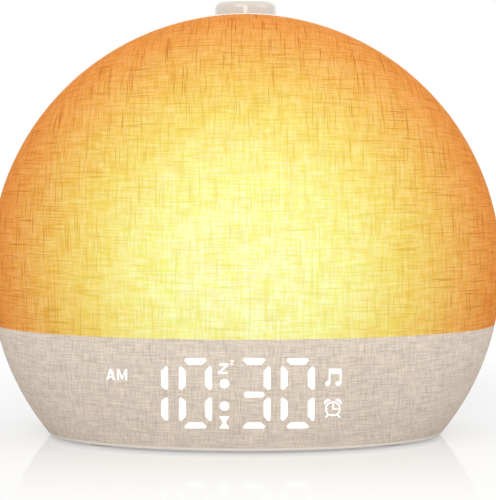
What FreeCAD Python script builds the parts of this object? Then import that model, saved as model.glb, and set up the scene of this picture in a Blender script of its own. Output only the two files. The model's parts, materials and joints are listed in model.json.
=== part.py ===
# A bedside sunrise lamp and clock: a linen-covered round front, lit above a seam and with a
# display in the band below it, on a drum-shaped rear housing with a turn-and-press knob.
# X runs to the right, the front faces -Y, Z is up and the feet stand on Z = 0. Millimetres.
import FreeCAD, Part
import math
import os

V = FreeCAD.Vector
X_AXIS = V(1, 0, 0)
Y_AXIS = V(0, 1, 0)
Z_AXIS = V(0, 0, 1)

# Outer form
face_radius = 90.0
face_bulge = 54.0
rear_depth = 38.0
centre_height = 58.35
seam_height = 39.65
foot_height = 1.0
base_rim = 0.9
skin_rings = 9
skin_sides = 88
skin_nose = 3.0
lining_rings = 6
lining_sides = 36
lining_nose = 9.0
corner_steps = 3
round_sides = 10
wide_round_sides = 24

# Front layers
linen = 0.6
glue_gap = 0.1
shell_wall = 2.2
baffle_wall = 1.6
joint_gap = 0.1

# Rear housing
rim_lip = 0.4
rear_wall = 2.2
draft_angle = 1.5
rear_corner = 14.0
recess_depth = 1.6
recess_radius = 68.0

# Mid frame and base
frame_wall = 2.0
fit_gap = 0.2
base_lip = 2.5
lip_facets = 8
lip_gap = 1.0
lip_corner = 19.0
foot_length = 16.0
foot_width = 8.0
foot_corner = 1.5
foot_x = 45.0
foot_front_y = -14.0
foot_back_y = 33.0
front_screw_x = 40.0
back_screw_x = 38.0
screw_block = 8.0
screw_block_height = 10.0
base_screw_length = 9.0
head_sink = 2.0
screw_radius = 1.5
screw_head_radius = 2.8
screw_head_height = 1.8
screw_clearance = 0.1

# Display
display_x = -6.8
display_z = 21.9
digit_height = 23.3
digit_width = 11.06
digit_pitch = 14.4
colon_room = 19.1
segment_width = 2.4
segment_gap = 0.5
colon_size = 3.2
colon_spread = 7.4
block_margin = 3.5
block_depth = 6.5
block_inset = 1.3
block_facets = 10
lens_depth = 3.0
lens_gap = 0.1
lens_sink = 0.8
board_wall = 1.6
led_size = 1.2
led_height = 0.8
am_place = (-42.8, 26.8)
am_size = (7.4, 4.4)
note_place = (29.7, 26.4)
note_size = (6.2, 6.4)
bell_place = (29.2, 15.3)
bell_size = (6.6, 7.0)
sleep_place = (-6.4, 30.3)
sleep_size = (5.8, 4.6)
timer_place = (-6.9, 11.15)
timer_size = (3.8, 4.8)

# Lamp
lamp_margin = 8.0
lamp_gap = 6.0
lamp_facets = 10
lamp_led_size = 3.0
lamp_led_height = 0.8
lamp_led_columns = 6
lamp_led_rows = 4
lamp_led_pitch = 15.0
reflector_height = 6.0
reflector_wall = 1.0

# Case screws, from the back into the mid frame
boss_radius = 4.6
case_screw_places = [(-52.0, 86.0), (52.0, 86.0), (-44.0, 22.0), (44.0, 22.0)]
case_head_sink = 20.0

# Speaker and its grille
speaker_z = 62.0
speaker_size = 40.0
speaker_opening = 17.0
gasket_wall = 0.8
speaker_frame_depth = 4.0
speaker_frame_wall = 1.2
cone_depth = 1.8
cone_wall = 0.5
cone_gap = 0.2
coil_radius = 5.0
magnet_radius = 10.0
magnet_depth = 7.0
grille_slots = 7
grille_pitch = 4.4
slot_width = 1.8
slot_length = 30.0

# Knob and encoder
knob_radius = 10.9
knob_rise = 5.2
knob_wall = 1.8
knob_top_wall = 2.2
knob_edge = 1.6
knob_sides = 48
knob_setback = 13.0
knob_float = 0.9
knob_press = 0.6
seat_radius = 11.6
seat_sink = 1.1
pad_size = 16.0
pad_wall = 2.7
shaft_radius = 3.0
shaft_flat = 1.6
shaft_grip = 2.1
hub_wall = 1.5
running_gap = 0.05
bush_wall = 0.9
bush_flange = 5.5
bush_flange_wall = 1.0
nut_across = 10.0
nut_height = 1.6
encoder_size = 12.0
encoder_height = 6.0
encoder_floor = 1.2
rotor_radius = 4.6
rotor_height = 3.0
pocket_gap = 0.3

# Push buttons on the back
button_names = ["alarm_one", "alarm_two", "set", "minus", "plus"]
button_z = 106.0
button_pitch = 16.0
button_length = 11.0
button_height = 6.0
button_corner = 1.5
button_gap = 0.35
button_rise = 1.2
button_travel = 0.7
button_flange = 1.0
button_flange_wall = 1.2
button_stem = 4.0
stem_length = 3.0
plunger_size = 2.6
plunger_length = 1.8
switch_size = 6.0
switch_height = 3.6
switch_board_margin = 4.0

# Main board and what is on it
board_half_width = 38.0
board_z = (12.0, 46.0)
standoff = 4.0
standoff_size = 5.0
chip_height = 1.4
chip_places = [(1.0, 29.0, 12.0, 12.0), (1.0, 17.0, 6.0, 5.0), (20.0, 20.0, 8.0, 6.0)]
capacitor_radius = 4.0
capacitor_length = 9.0
cell_radius = 10.0
cell_height = 3.2
holder_wall = 1.0

# Power inlet
jack_x = -18.0
jack_z = 20.0
jack_width = 9.0
jack_height = 11.0
jack_depth = 14.0
jack_bore = 3.1
jack_bore_depth = 9.5
jack_pin = 1.0
jack_clearance = 0.3
inlet_board_margin = 4.0

# Flat cables
cable_wall = 0.3
cable_width = 14.0
cable_slot_gap = 0.5
display_cable_z = 32.0
lamp_cable_z = 52.0
lamp_cable_end = 42.0

# Worked-out planes and places
split_y = (face_bulge - rear_depth) / 2
back_y = split_y + rear_depth
floor_z = foot_height + base_rim
rear_radius = face_radius + rim_lip
recess_y = back_y - recess_depth
inner_back_y = recess_y - rear_wall
frame_front_y = split_y + joint_gap
frame_back_y = frame_front_y + frame_wall
rear_rim_y = split_y + joint_gap
seam_low = seam_height - baffle_wall / 2
seam_high = seam_height + baffle_wall / 2
linen_back = linen + glue_gap
lamp_low = seam_high + lamp_margin
lamp_radius = face_radius - linen_back - shell_wall - reflector_wall - reflector_height - lamp_gap


def box(x0, x1, y0, y1, z0, z1):
    """Rectangular block between two corners."""
    return Part.makeBox(x1 - x0, y1 - y0, z1 - z0, V(x0, y0, z0))


def rod(radius, start, axis, length):
    """Round bar from start along axis."""
    return Part.makeCylinder(radius, length, start, axis)


def closed(points):
    """The points of an outline, back to its first one."""
    return points + [points[0]]


def prism(points, direction):
    """Solid from a closed outline pushed along direction."""
    return Part.Face(Part.makePolygon(closed(points))).extrude(direction)


def faceted(rings):
    """Solid with flat sides between rings of points, each ring's edges parallel to the next's."""
    faces = [Part.Face(Part.makePolygon(closed(ring))) for ring in (rings[0], rings[-1])]
    for low, high in zip(rings, rings[1:]):
        for i in range(len(low)):
            corners = [low[i - 1], low[i], high[i], high[i - 1]]
            faces.append(Part.Face(Part.makePolygon(closed(corners))))
    solid = Part.Solid(Part.Shell(faces))
    if solid.Volume < 0:
        solid.reverse()
    return solid


def chamfered_plate(x, z, length, height, corner, y0, y1):
    """Upright plate with cut corners, centred on x and z, between two Y planes."""
    a = length / 2
    b = height / 2
    corners = [(a - corner, -b), (a, corner - b), (a, b - corner), (a - corner, b),
               (corner - a, b), (-a, b - corner), (-a, corner - b), (corner - a, -b)]
    return prism([V(x + u, y0, z + v) for u, v in corners], V(0, y1 - y0, 0))


def peg(radius, start, axis, length, sides=round_sides):
    """Hidden round bar, drawn with flat sides."""
    turn = FreeCAD.Rotation(Z_AXIS, axis)
    angles = [2 * math.pi * (i + 0.5) / sides for i in range(sides)]
    ring = [start + turn.multVec(V(radius * math.cos(a), radius * math.sin(a), 0)) for a in angles]
    return prism(ring, turn.multVec(V(0, 0, length)))


def group(solids):
    """Several separate solids as one shape."""
    return Part.makeCompound(solids)


def above(shape, height):
    """The part of a shape that lies above a height."""
    reach = 3 * face_radius
    return shape.common(box(-reach, reach, -reach, reach, height, height + 2 * reach))


def between(shape, low, high):
    """The part of a shape that lies between two heights."""
    reach = 3 * face_radius
    return shape.common(box(-reach, reach, -reach, reach, low, high))


def ring(radius, y, sides):
    """Points round the middle of the face, at a radius and a depth."""
    turns = [2 * math.pi * i / sides for i in range(sides)]
    return [V(radius * math.cos(t), y, centre_height + radius * math.sin(t)) for t in turns]


def dome(inset, rings, sides, nose):
    """Front dome drawn in by inset: a half ellipse turned in narrow flats, with a flat nose."""
    start = math.radians(nose)
    leans = [start + (math.pi / 2 - start) * i / rings for i in range(rings + 1)]
    return faceted([ring((face_radius - inset) * math.sin(lean),
                         split_y - (face_bulge - inset) * math.cos(lean), sides)
                    for lean in leans])


def outer_dome():
    """The dome as the eye sees it."""
    return dome(0, skin_rings, skin_sides, skin_nose)


def hidden_dome(inset):
    """The dome drawn in by inset, with wider flats, for the faces that the linen hides."""
    return dome(inset, lining_rings, lining_sides, lining_nose)


def drum(inset, front, back, corner, steps, sides):
    """Rear drum drawn in by inset: drafted side, corner rounded in short steps, flat back."""
    reach = rear_radius - inset
    draft = math.radians(draft_angle)
    pivot_y = back - corner
    end_y = pivot_y + corner * math.sin(draft)
    pivot_x = reach - (end_y - front) * math.tan(draft) - corner * math.cos(draft)
    turns = [draft + (math.pi / 2 - draft) * i / steps for i in range(steps + 1)]
    rings = [ring(reach, front, sides)]
    rings += [ring(pivot_x + corner * math.cos(t), pivot_y + corner * math.sin(t), sides)
              for t in turns]
    return faceted(rings)


def outer_drum(front):
    """The rear drum as the eye sees it."""
    return drum(0, front, back_y, rear_corner, corner_steps, skin_sides)


def rear_top(inset, y):
    """Height of the drum's top at a place along its side, drawn in by inset."""
    fall = (y - rear_rim_y) * math.tan(math.radians(draft_angle))
    return centre_height + rear_radius - inset - fall


# Linen and the shells under it

def make_linen_cover():
    return above(outer_dome().cut(hidden_dome(linen)), floor_z)


def front_shell():
    return hidden_dome(linen_back).cut(hidden_dome(linen_back + shell_wall))


def make_light_diffuser():
    return above(front_shell(), seam_high + joint_gap)


def display_window(clearance):
    """Space that the display block fills, out through the front."""
    (x0, x1), (z0, z1) = block_span()
    return box(x0 - clearance, x1 + clearance, -2 * face_bulge, split_y,
               z0 - clearance, z1 + clearance)


def make_display_shell():
    band = between(front_shell(), floor_z, seam_low - joint_gap)
    return band.cut(display_window(fit_gap))


def make_light_baffle():
    return between(hidden_dome(linen_back), seam_low, seam_high)


# Display

def digit_centres():
    near = colon_room / 2
    far = near + digit_pitch
    return [display_x + offset for offset in (-far, -near, near, far)]


def segment_outline(x, z, length, upright):
    """Six-sided segment with pointed ends, centred on x and z."""
    half = length / 2
    thick = segment_width / 2
    flat = half - thick
    shape = [(half, 0), (flat, thick), (-flat, thick), (-half, 0), (-flat, -thick), (flat, -thick)]
    if upright:
        shape = [(v, u) for u, v in shape]
    return [(x + u, z + v) for u, v in shape]


def digit_segments(x):
    """The seven segments of one digit."""
    side = digit_width / 2 - segment_width / 2
    rise = digit_height / 2 - segment_width / 2
    across = 2 * (side - segment_gap)
    tall = rise - 2 * segment_gap
    outlines = [segment_outline(x, display_z + level, across, False) for level in (-rise, 0, rise)]
    for way in (-1, 1):
        for level in (-rise / 2, rise / 2):
            outlines.append(segment_outline(x + way * side, display_z + level, tall, True))
    return outlines


def window_outline(place, size):
    """Rectangular window of one sign."""
    (x, z), (w, h) = place, size
    return [(x - w / 2, z - h / 2), (x + w / 2, z - h / 2), (x + w / 2, z + h / 2), (x - w / 2, z + h / 2)]


def display_outlines():
    """Outline of every well in the display block."""
    outlines = []
    for x in digit_centres():
        outlines += digit_segments(x)
    dot = (colon_size, colon_size)
    for level in (-colon_spread / 2, colon_spread / 2):
        outlines.append(window_outline((display_x, display_z + level), dot))
    for place, size in ((am_place, am_size), (note_place, note_size), (bell_place, bell_size),
                        (sleep_place, sleep_size), (timer_place, timer_size)):
        outlines.append(window_outline(place, size))
    return outlines


def block_span():
    """Left, right, bottom and top of the display block."""
    xs = [x for outline in display_outlines() for x, z in outline]
    zs = [z for outline in display_outlines() for x, z in outline]
    low = max(min(zs) - block_margin, floor_z + base_lip + shell_wall)
    high = min(max(zs) + block_margin, seam_low - fit_gap - joint_gap)
    return (min(xs) - block_margin, max(xs) + block_margin), (low, high)


def dome_y(inset, x, z):
    """Y of the front dome, drawn in by inset, at a place on the face."""
    off = ((x ** 2 + (z - centre_height) ** 2) ** 0.5) / (face_radius - inset)
    return split_y - (face_bulge - inset) * max(0.0, 1 - off ** 2) ** 0.5


def block_back_y():
    """Back plane of the display block, behind its shallowest corner."""
    (x0, x1), (z0, z1) = block_span()
    return max(dome_y(linen_back, x, z0) for x in (x0, x1)) + block_depth


def block_front():
    """Body whose front follows the curve of the face in flats, one set below the other."""
    z0, z1 = block_span()[1]
    sections = []
    for z in (z0, (z0 + z1) / 2, z1):
        share = (1 - ((z - centre_height) / (face_radius - block_inset)) ** 2) ** 0.5
        wide = (face_radius - block_inset) * share
        deep = (face_bulge - block_inset) * share
        turns = [math.pi * i / block_facets for i in range(block_facets + 1)]
        sections.append([V(-wide * math.cos(t), split_y - deep * math.sin(t), z) for t in turns])
    return faceted(sections)


def make_display_block():
    (x0, x1), (z0, z1) = block_span()
    block = box(x0, x1, -2 * face_bulge, block_back_y(), z0, z1)
    block = block.common(block_front())
    wells = [prism([V(x, -2 * face_bulge, z) for x, z in outline], V(0, 4 * face_bulge, 0))
             for outline in display_outlines()]
    return block.cut(wells)


def shrunk(outline, gap):
    """Outline drawn in towards its middle by a gap on each side."""
    cx = sum(x for x, z in outline) / len(outline)
    cz = sum(z for x, z in outline) / len(outline)
    half_x = max(abs(x - cx) for x, z in outline)
    half_z = max(abs(z - cz) for x, z in outline)
    share_x = (half_x - gap) / half_x
    share_z = (half_z - gap) / half_z
    return [(cx + (x - cx) * share_x, cz + (z - cz) * share_z) for x, z in outline]


def make_segment_lenses():
    lenses = []
    for outline in display_outlines():
        inner = shrunk(outline, lens_gap)
        front = max(dome_y(block_inset, x, z) for x, z in inner) + lens_sink
        lenses.append(prism([V(x, front, z) for x, z in inner], V(0, lens_depth, 0)))
    return group(lenses)


def make_display_board():
    (x0, x1), (z0, z1) = block_span()
    back = block_back_y()
    return box(x0, x1, back, back + board_wall, z0, z1)


def make_display_leds():
    leds = []
    for outline in display_outlines():
        x = sum(u for u, v in outline) / len(outline)
        z = sum(v for u, v in outline) / len(outline)
        half = led_size / 2
        leds.append(box(x - half, x + half, block_back_y() - led_height, block_back_y(),
                        z - half, z + half))
    return group(leds)


# Mid frame and lamp

def case_screw_holes(radius):
    return [peg(radius, V(x, split_y - rear_depth, z), Y_AXIS, 3 * rear_depth)
            for x, z in case_screw_places]


def board_standoffs():
    """Posts between the mid frame and the main board."""
    half = standoff_size / 2
    posts = []
    for x in (half - board_half_width, board_half_width - half):
        for z in (board_z[0] + half, board_z[1] - half):
            posts.append(box(x - half, x + half, frame_back_y, frame_back_y + standoff,
                             z - half, z + half))
    return posts


def display_arms():
    """Two arms that carry the display board on the mid frame."""
    (x0, x1), (z0, z1) = block_span()
    board_back = block_back_y() + board_wall
    return [box(x, x + frame_wall, board_back, frame_front_y, z0, z1)
            for x in (x0, x1 - frame_wall)]


def cable_slots():
    """Slots that the flat cables run through."""
    half = cable_width / 2 + fit_gap
    return [box(-half, half, frame_front_y, frame_back_y, z - cable_slot_gap,
                z + cable_wall + cable_slot_gap) for z in (display_cable_z, lamp_cable_z)]


def frame_feet():
    """Blocks in front of the mid frame that the front base screws enter."""
    half = screw_block / 2
    low = floor_z + base_lip + fit_gap
    return [box(x - half, x + half, frame_front_y - screw_block, frame_front_y, low,
                low + screw_block_height) for x in (-front_screw_x, front_screw_x)]


def make_mid_frame():
    reach = rear_radius - rear_wall - fit_gap - frame_wall * math.tan(math.radians(draft_angle))
    disc = faceted([ring(reach, y, lining_sides) for y in (frame_front_y, frame_back_y)])
    disc = above(disc, floor_z + base_lip + fit_gap)
    disc = disc.fuse(board_standoffs() + display_arms() + frame_feet())
    return disc.cut(case_screw_holes(screw_radius + screw_clearance) + cable_slots()
                    + base_screw_holes(screw_radius + screw_clearance))


def lamp_outline(grow, y):
    """Outline of the lamp board: flat above the seam, and round the face above that."""
    radius = lamp_radius + grow
    low = lamp_low - grow
    turns = [math.pi * i / lamp_facets for i in range(lamp_facets + 1)]
    arc = [V(radius * math.cos(t), y, centre_height + radius * math.sin(t)) for t in turns]
    return [V(-radius, y, low), V(radius, y, low)] + arc


def make_lamp_board():
    board = prism(lamp_outline(0, frame_front_y - board_wall), V(0, board_wall, 0))
    return board.cut(case_screw_holes(screw_radius + screw_clearance))


def make_lamp_leds():
    middle = (lamp_low + centre_height + lamp_radius) / 2
    half = lamp_led_size / 2
    front = frame_front_y - board_wall - lamp_led_height
    leds = []
    for column in range(lamp_led_columns):
        for row in range(lamp_led_rows):
            x = (column - (lamp_led_columns - 1) / 2) * lamp_led_pitch
            z = middle + (row - (lamp_led_rows - 1) / 2) * lamp_led_pitch
            leds.append(box(x - half, x + half, front, front + lamp_led_height,
                            z - half, z + half))
    return group(leds)


def make_lamp_reflector():
    """White tray round the LEDs, with walls that lean outwards."""
    back = frame_front_y
    front = back - reflector_height
    outer = faceted([lamp_outline(reflector_wall + fit_gap, back),
                     lamp_outline(reflector_wall + reflector_height, front)])
    inner = faceted([lamp_outline(fit_gap, back), lamp_outline(reflector_height, front)])
    return outer.cut(inner)


# Rear shell

def bosses():
    start = frame_back_y + joint_gap
    return [peg(boss_radius, V(x, start, z), Y_AXIS, inner_back_y - start)
            for x, z in case_screw_places]


def back_screw_blocks():
    """Blocks on the back wall that the rear base screws enter."""
    half = screw_block / 2
    low = floor_z + base_lip + fit_gap
    return [box(x - half, x + half, inner_back_y - screw_block, inner_back_y, low,
                low + screw_block_height) for x in (-back_screw_x, back_screw_x)]


def button_board_posts():
    """Posts on the back wall that the button board is fixed to."""
    half = standoff_size / 2
    return [box(x - half, x + half, button_board_back_y, inner_back_y, button_z - half,
                button_z + half) for x in (-button_post_x, button_post_x)]


def knob_pad():
    """Flat pad under the top of the housing that the encoder hangs from."""
    half = pad_size / 2
    return box(-half, half, knob_y - half, knob_y + half, seat_z - pad_wall, seat_z)


def grille_cuts():
    cuts = []
    for row in range(grille_slots):
        z = speaker_z + (row - (grille_slots - 1) / 2) * grille_pitch
        cuts.append(box(-slot_length / 2, slot_length / 2, inner_back_y, recess_y,
                        z - slot_width / 2, z + slot_width / 2))
    return cuts


def button_holes():
    return [chamfered_plate(x, button_z, button_length + 2 * button_gap,
                            button_height + 2 * button_gap, button_corner,
                            inner_back_y, recess_y) for x in button_xs()]


def jack_hole():
    half_x = jack_width / 2 + jack_clearance
    half_z = jack_height / 2 + jack_clearance
    return box(jack_x - half_x, jack_x + half_x, inner_back_y, recess_y,
               jack_z - half_z, jack_z + half_z)


def make_rear_shell():
    shell = outer_drum(rear_rim_y)
    shell = shell.cut(drum(rear_wall, rear_rim_y, inner_back_y, rear_corner - rear_wall, 1,
                           lining_sides))
    shell = above(shell, floor_z)
    shell = shell.fuse(bosses() + back_screw_blocks() + button_board_posts() + [knob_pad()])
    recess = peg(recess_radius, V(0, recess_y, centre_height), Y_AXIS, recess_depth, skin_sides)
    head_y = recess_y - case_head_sink
    heads = [peg(screw_head_radius + fit_gap, V(x, head_y, z), Y_AXIS, case_head_sink)
             for x, z in case_screw_places]
    seat = rod(seat_radius, V(0, knob_y, seat_z), Z_AXIS, rear_corner)
    bush_hole = rod(bush_radius + screw_clearance, V(0, knob_y, seat_z - pad_wall), Z_AXIS,
                    pad_wall)
    return shell.cut([recess, seat, bush_hole, jack_hole()] + heads + grille_cuts()
                     + button_holes() + case_screw_holes(screw_radius + screw_clearance)
                     + base_screw_holes(screw_radius + screw_clearance))


def make_case_screws():
    head_y = recess_y - case_head_sink
    tip_y = frame_front_y - board_wall
    screws = []
    for x, z in case_screw_places:
        head = peg(screw_head_radius, V(x, head_y, z), Y_AXIS, screw_head_height)
        screws.append(head.fuse(peg(screw_radius, V(x, tip_y, z), Y_AXIS, head_y - tip_y)))
    return group(screws)


# Base

def outer_slice(low, high):
    """Slice of the whole outer form between two heights."""
    return between(outer_dome(), low, high).fuse(between(outer_drum(split_y), low, high))


def base_lip_outline():
    """Outline of the raised part of the base, inside the shells, seen from above."""
    inset = linen_back + shell_wall + lip_gap
    share = (1 - ((floor_z - centre_height) / (face_radius - inset)) ** 2) ** 0.5
    wide = (face_radius - inset) * share * math.cos(math.pi / lining_sides)
    deep = (face_bulge - inset) * share * math.cos(math.pi / lining_sides)
    turns = [math.pi * i / lip_facets for i in range(lip_facets + 1)]
    front = [V(-wide * math.cos(t), split_y - deep * math.sin(t), floor_z) for t in turns]
    back = inner_back_y - fit_gap
    return front + [V(wide, back - lip_corner, floor_z), V(wide - lip_corner, back, floor_z),
                    V(lip_corner - wide, back, floor_z), V(-wide, back - lip_corner, floor_z)]


def base_screw_places():
    front = frame_front_y - screw_block / 2
    back = inner_back_y - screw_block / 2
    return [(-front_screw_x, front), (front_screw_x, front),
            (-back_screw_x, back), (back_screw_x, back)]


def base_screw_holes(radius):
    return [peg(radius, V(x, y, 0), Z_AXIS, floor_z + base_lip + fit_gap + base_screw_length)
            for x, y in base_screw_places()]


def inlet_board_posts():
    """Two posts on the base that carry the inlet board."""
    low = floor_z + base_lip
    (x0, x1), (y0, y1) = inlet_board_span()
    return [box(x0, x1, y, y + frame_wall, low, inlet_board_z)
            for y in (y0, y1 - frame_wall)]


def make_base_plate():
    rim = outer_slice(foot_height, floor_z)
    lip = prism(base_lip_outline(), V(0, 0, base_lip))
    plate = rim.fuse([lip] + inlet_board_posts())
    heads = [peg(screw_head_radius + fit_gap, V(x, y, foot_height), Z_AXIS, head_sink)
             for x, y in base_screw_places()]
    return plate.cut(heads + base_screw_holes(screw_radius + screw_clearance))


def make_base_screws():
    head_low = foot_height + head_sink - screw_head_height
    screws = []
    for x, y in base_screw_places():
        head = peg(screw_head_radius, V(x, y, head_low), Z_AXIS, screw_head_height)
        shank = peg(screw_radius, V(x, y, head_low), Z_AXIS, screw_head_height
                    + base_screw_length)
        screws.append(head.fuse(shank))
    return group(screws)


def make_rubber_feet():
    feet = []
    half = foot_length / 2
    side = foot_width / 2
    for x in (-foot_x, foot_x):
        for y in (foot_front_y, foot_back_y):
            corners = [(half - foot_corner, -side), (half, foot_corner - side),
                       (half, side - foot_corner), (half - foot_corner, side),
                       (foot_corner - half, side), (-half, side - foot_corner),
                       (-half, foot_corner - side), (foot_corner - half, -side)]
            feet.append(prism([V(x + u, y + v, 0) for u, v in corners], V(0, 0, foot_height)))
    return group(feet)


# Speaker

def make_speaker_gasket():
    half = speaker_size / 2
    pad = box(-half, half, inner_back_y - gasket_wall, inner_back_y,
              speaker_z - half, speaker_z + half)
    return pad.cut(peg(speaker_opening, V(0, inner_back_y - gasket_wall, speaker_z), Y_AXIS,
                       gasket_wall, wide_round_sides))


def make_speaker_frame():
    half = speaker_size / 2
    front = inner_back_y - gasket_wall
    back = front - speaker_frame_depth
    frame = box(-half, half, back, front, speaker_z - half, speaker_z + half)
    well = peg(speaker_opening, V(0, back + speaker_frame_wall, speaker_z), Y_AXIS,
               speaker_frame_depth, wide_round_sides)
    return frame.cut(well)


def speaker_ring(radius, y):
    turns = [2 * math.pi * (i + 0.5) / wide_round_sides for i in range(wide_round_sides)]
    return [V(radius * math.cos(t), y, speaker_z + radius * math.sin(t)) for t in turns]


def make_speaker_cone():
    front = inner_back_y - gasket_wall - cone_gap
    outer = speaker_opening - cone_gap
    full = faceted([speaker_ring(outer, front), speaker_ring(outer, front - cone_wall),
                    speaker_ring(coil_radius, front - cone_wall - cone_depth)])
    hollow = faceted([speaker_ring(outer - cone_wall, front),
                      speaker_ring(coil_radius, front - cone_depth)])
    return full.cut(hollow)


def make_speaker_magnet():
    back = inner_back_y - gasket_wall - speaker_frame_depth
    return peg(magnet_radius, V(0, back - magnet_depth, speaker_z), Y_AXIS, magnet_depth,
               wide_round_sides)


# Main board

main_board_y = frame_back_y + standoff
main_back_y = main_board_y + board_wall


def make_main_board():
    return box(-board_half_width, board_half_width, main_board_y, main_back_y,
               board_z[0], board_z[1])


def make_board_chips():
    chips = []
    for x, z, wide, tall in chip_places:
        chips.append(box(x - wide / 2, x + wide / 2, main_back_y, main_back_y + chip_height,
                         z - tall / 2, z + tall / 2))
    return group(chips)


def make_capacitors():
    first = board_half_width - standoff_size - 2 * capacitor_radius
    z = board_z[1] - standoff_size - capacitor_radius
    return group([peg(capacitor_radius, V(x, main_back_y, z), Y_AXIS, capacitor_length)
                  for x in (first, first - 2.5 * capacitor_radius)])


def cell_place():
    x = standoff_size + cell_radius + 2 * holder_wall - board_half_width
    return x, (board_z[0] + board_z[1]) / 2


def make_cell_holder():
    x, z = cell_place()
    half = cell_radius + 2 * holder_wall
    tray = box(x - half, x + half, main_back_y, main_back_y + holder_wall + cell_height / 2,
               z - half, z + half)
    return tray.cut(peg(cell_radius + fit_gap, V(x, main_back_y + holder_wall, z), Y_AXIS,
                        cell_height, wide_round_sides))


def make_coin_cell():
    x, z = cell_place()
    return peg(cell_radius, V(x, main_back_y + holder_wall, z), Y_AXIS, cell_height,
               wide_round_sides)


# Flat cables

def make_display_cable():
    half = cable_width / 2
    return box(-half, half, block_back_y() + board_wall, main_board_y, display_cable_z,
               display_cable_z + cable_wall)


def make_lamp_cable():
    half = cable_width / 2
    run = box(-half, half, frame_front_y, main_board_y, lamp_cable_z, lamp_cable_z + cable_wall)
    drop = box(-half, half, main_board_y - cable_wall, main_board_y, lamp_cable_end,
               lamp_cable_z + cable_wall)
    return run.fuse(drop)


# Power inlet

jack_front_y = recess_y
inlet_board_z = jack_z - jack_height / 2 - board_wall


def inlet_board_span():
    half = jack_width / 2 + inlet_board_margin
    back = jack_front_y - jack_depth - inlet_board_margin
    return (jack_x - half, jack_x + half), (back, inner_back_y - fit_gap)


def make_power_jack():
    body = box(jack_x - jack_width / 2, jack_x + jack_width / 2, jack_front_y - jack_depth,
               jack_front_y, jack_z - jack_height / 2, jack_z + jack_height / 2)
    return body.cut(rod(jack_bore, V(jack_x, jack_front_y - jack_bore_depth, jack_z), Y_AXIS,
                        jack_bore_depth))


def make_jack_pin():
    length = jack_bore_depth - jack_pin
    return rod(jack_pin, V(jack_x, jack_front_y - jack_bore_depth, jack_z), Y_AXIS, length)


def make_inlet_board():
    (x0, x1), (y0, y1) = inlet_board_span()
    return box(x0, x1, y0, y1, inlet_board_z, inlet_board_z + board_wall)


# Push buttons

flange_back_y = inner_back_y - fit_gap - button_flange_wall
stem_end_y = flange_back_y - stem_length
switch_face_y = stem_end_y - button_travel - pocket_gap
button_board_back_y = switch_face_y - switch_height
button_post_x = (2 * button_pitch + button_length / 2 + button_flange + fit_gap
                 + standoff_size / 2)


def button_xs():
    middle = (len(button_names) - 1) / 2
    return [(i - middle) * button_pitch for i in range(len(button_names))]


def make_button(x):
    cap = chamfered_plate(x, button_z, button_length, button_height, button_corner,
                          flange_back_y, recess_y + button_rise)
    half_x = button_length / 2 + button_flange
    half_z = button_height / 2 + button_flange
    flange = box(x - half_x, x + half_x, flange_back_y, flange_back_y + button_flange_wall,
                 button_z - half_z, button_z + half_z)
    half = button_stem / 2
    stem = box(x - half, x + half, stem_end_y, flange_back_y, button_z - half, button_z + half)
    return cap.fuse([flange, stem])


def make_plunger(x):
    half = plunger_size / 2
    return box(x - half, x + half, stem_end_y - plunger_length, stem_end_y,
               button_z - half, button_z + half)


def make_tact_switches():
    switches = []
    half = switch_size / 2
    hole = plunger_size / 2 + pocket_gap
    floor = stem_end_y - plunger_length - button_travel - pocket_gap
    for x in button_xs():
        body = box(x - half, x + half, button_board_back_y, switch_face_y,
                   button_z - half, button_z + half)
        switches.append(body.cut(box(x - hole, x + hole, floor, switch_face_y,
                                     button_z - hole, button_z + hole)))
    return group(switches)


def make_button_board():
    half = button_post_x + standoff_size / 2
    rise = switch_size / 2 + switch_board_margin
    return box(-half, half, button_board_back_y - board_wall, button_board_back_y,
               button_z - rise, button_z + rise)


# Knob and encoder

knob_y = split_y + knob_setback
seat_z = rear_top(0, knob_y) - seat_sink
bush_radius = shaft_radius + running_gap + bush_wall
body_top = seat_z - pad_wall - bush_flange_wall
body_low = body_top - encoder_height
pocket_floor = body_low + encoder_floor
bush_top = seat_z + nut_height + fit_gap
knob_top = centre_height + face_radius + knob_rise
knob_low = seat_z + knob_float
ceiling = knob_top - knob_top_wall
hub_low = bush_top + knob_press + pocket_gap
shaft_low = pocket_floor + knob_press + pocket_gap
shaft_top = hub_low + shaft_grip


def upright(radius, low, high):
    """Round bar on the knob's axis."""
    return rod(radius, V(0, knob_y, low), Z_AXIS, high - low)


def hidden_upright(radius, low, high):
    """Bar on the knob's axis, drawn with flat sides."""
    return peg(radius, V(0, knob_y, low), Z_AXIS, high - low, wide_round_sides)


def flatted(radius, flat, low, high):
    """Round bar on the knob's axis with one flat side."""
    reach = 2 * radius
    side = box(-reach, reach, knob_y + flat, knob_y + reach, low, high)
    return upright(radius, low, high).cut(side)


def make_encoder_body():
    half = encoder_size / 2
    body = box(-half, half, knob_y - half, knob_y + half, body_low, body_top)
    return body.cut(upright(rotor_radius + running_gap, pocket_floor, body_top))


def make_encoder_bush():
    flange = box(-bush_flange, bush_flange, knob_y - bush_flange, knob_y + bush_flange,
                 body_top, body_top + bush_flange_wall)
    bush = flange.fuse(hidden_upright(bush_radius, body_top, bush_top))
    return bush.cut(upright(shaft_radius + running_gap, body_top, bush_top))


def make_encoder_nut():
    corner = nut_across / math.sqrt(3)
    points = [V(corner * math.cos(math.pi / 3 * i), knob_y + corner * math.sin(math.pi / 3 * i),
                seat_z) for i in range(6)]
    return prism(points, V(0, 0, nut_height)).cut(hidden_upright(bush_radius, seat_z, bush_top))


def make_encoder_rotor():
    high = body_top - fit_gap
    rotor = upright(rotor_radius, high - rotor_height, high)
    return rotor.cut(flatted(shaft_radius + running_gap, shaft_flat + running_gap,
                             high - rotor_height, high))


def make_encoder_board():
    half = pad_size / 2
    return box(-half, half, knob_y - half, knob_y + half, body_low - board_wall, body_low)


def make_encoder_shaft():
    return flatted(shaft_radius, shaft_flat, shaft_low, shaft_top)


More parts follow.
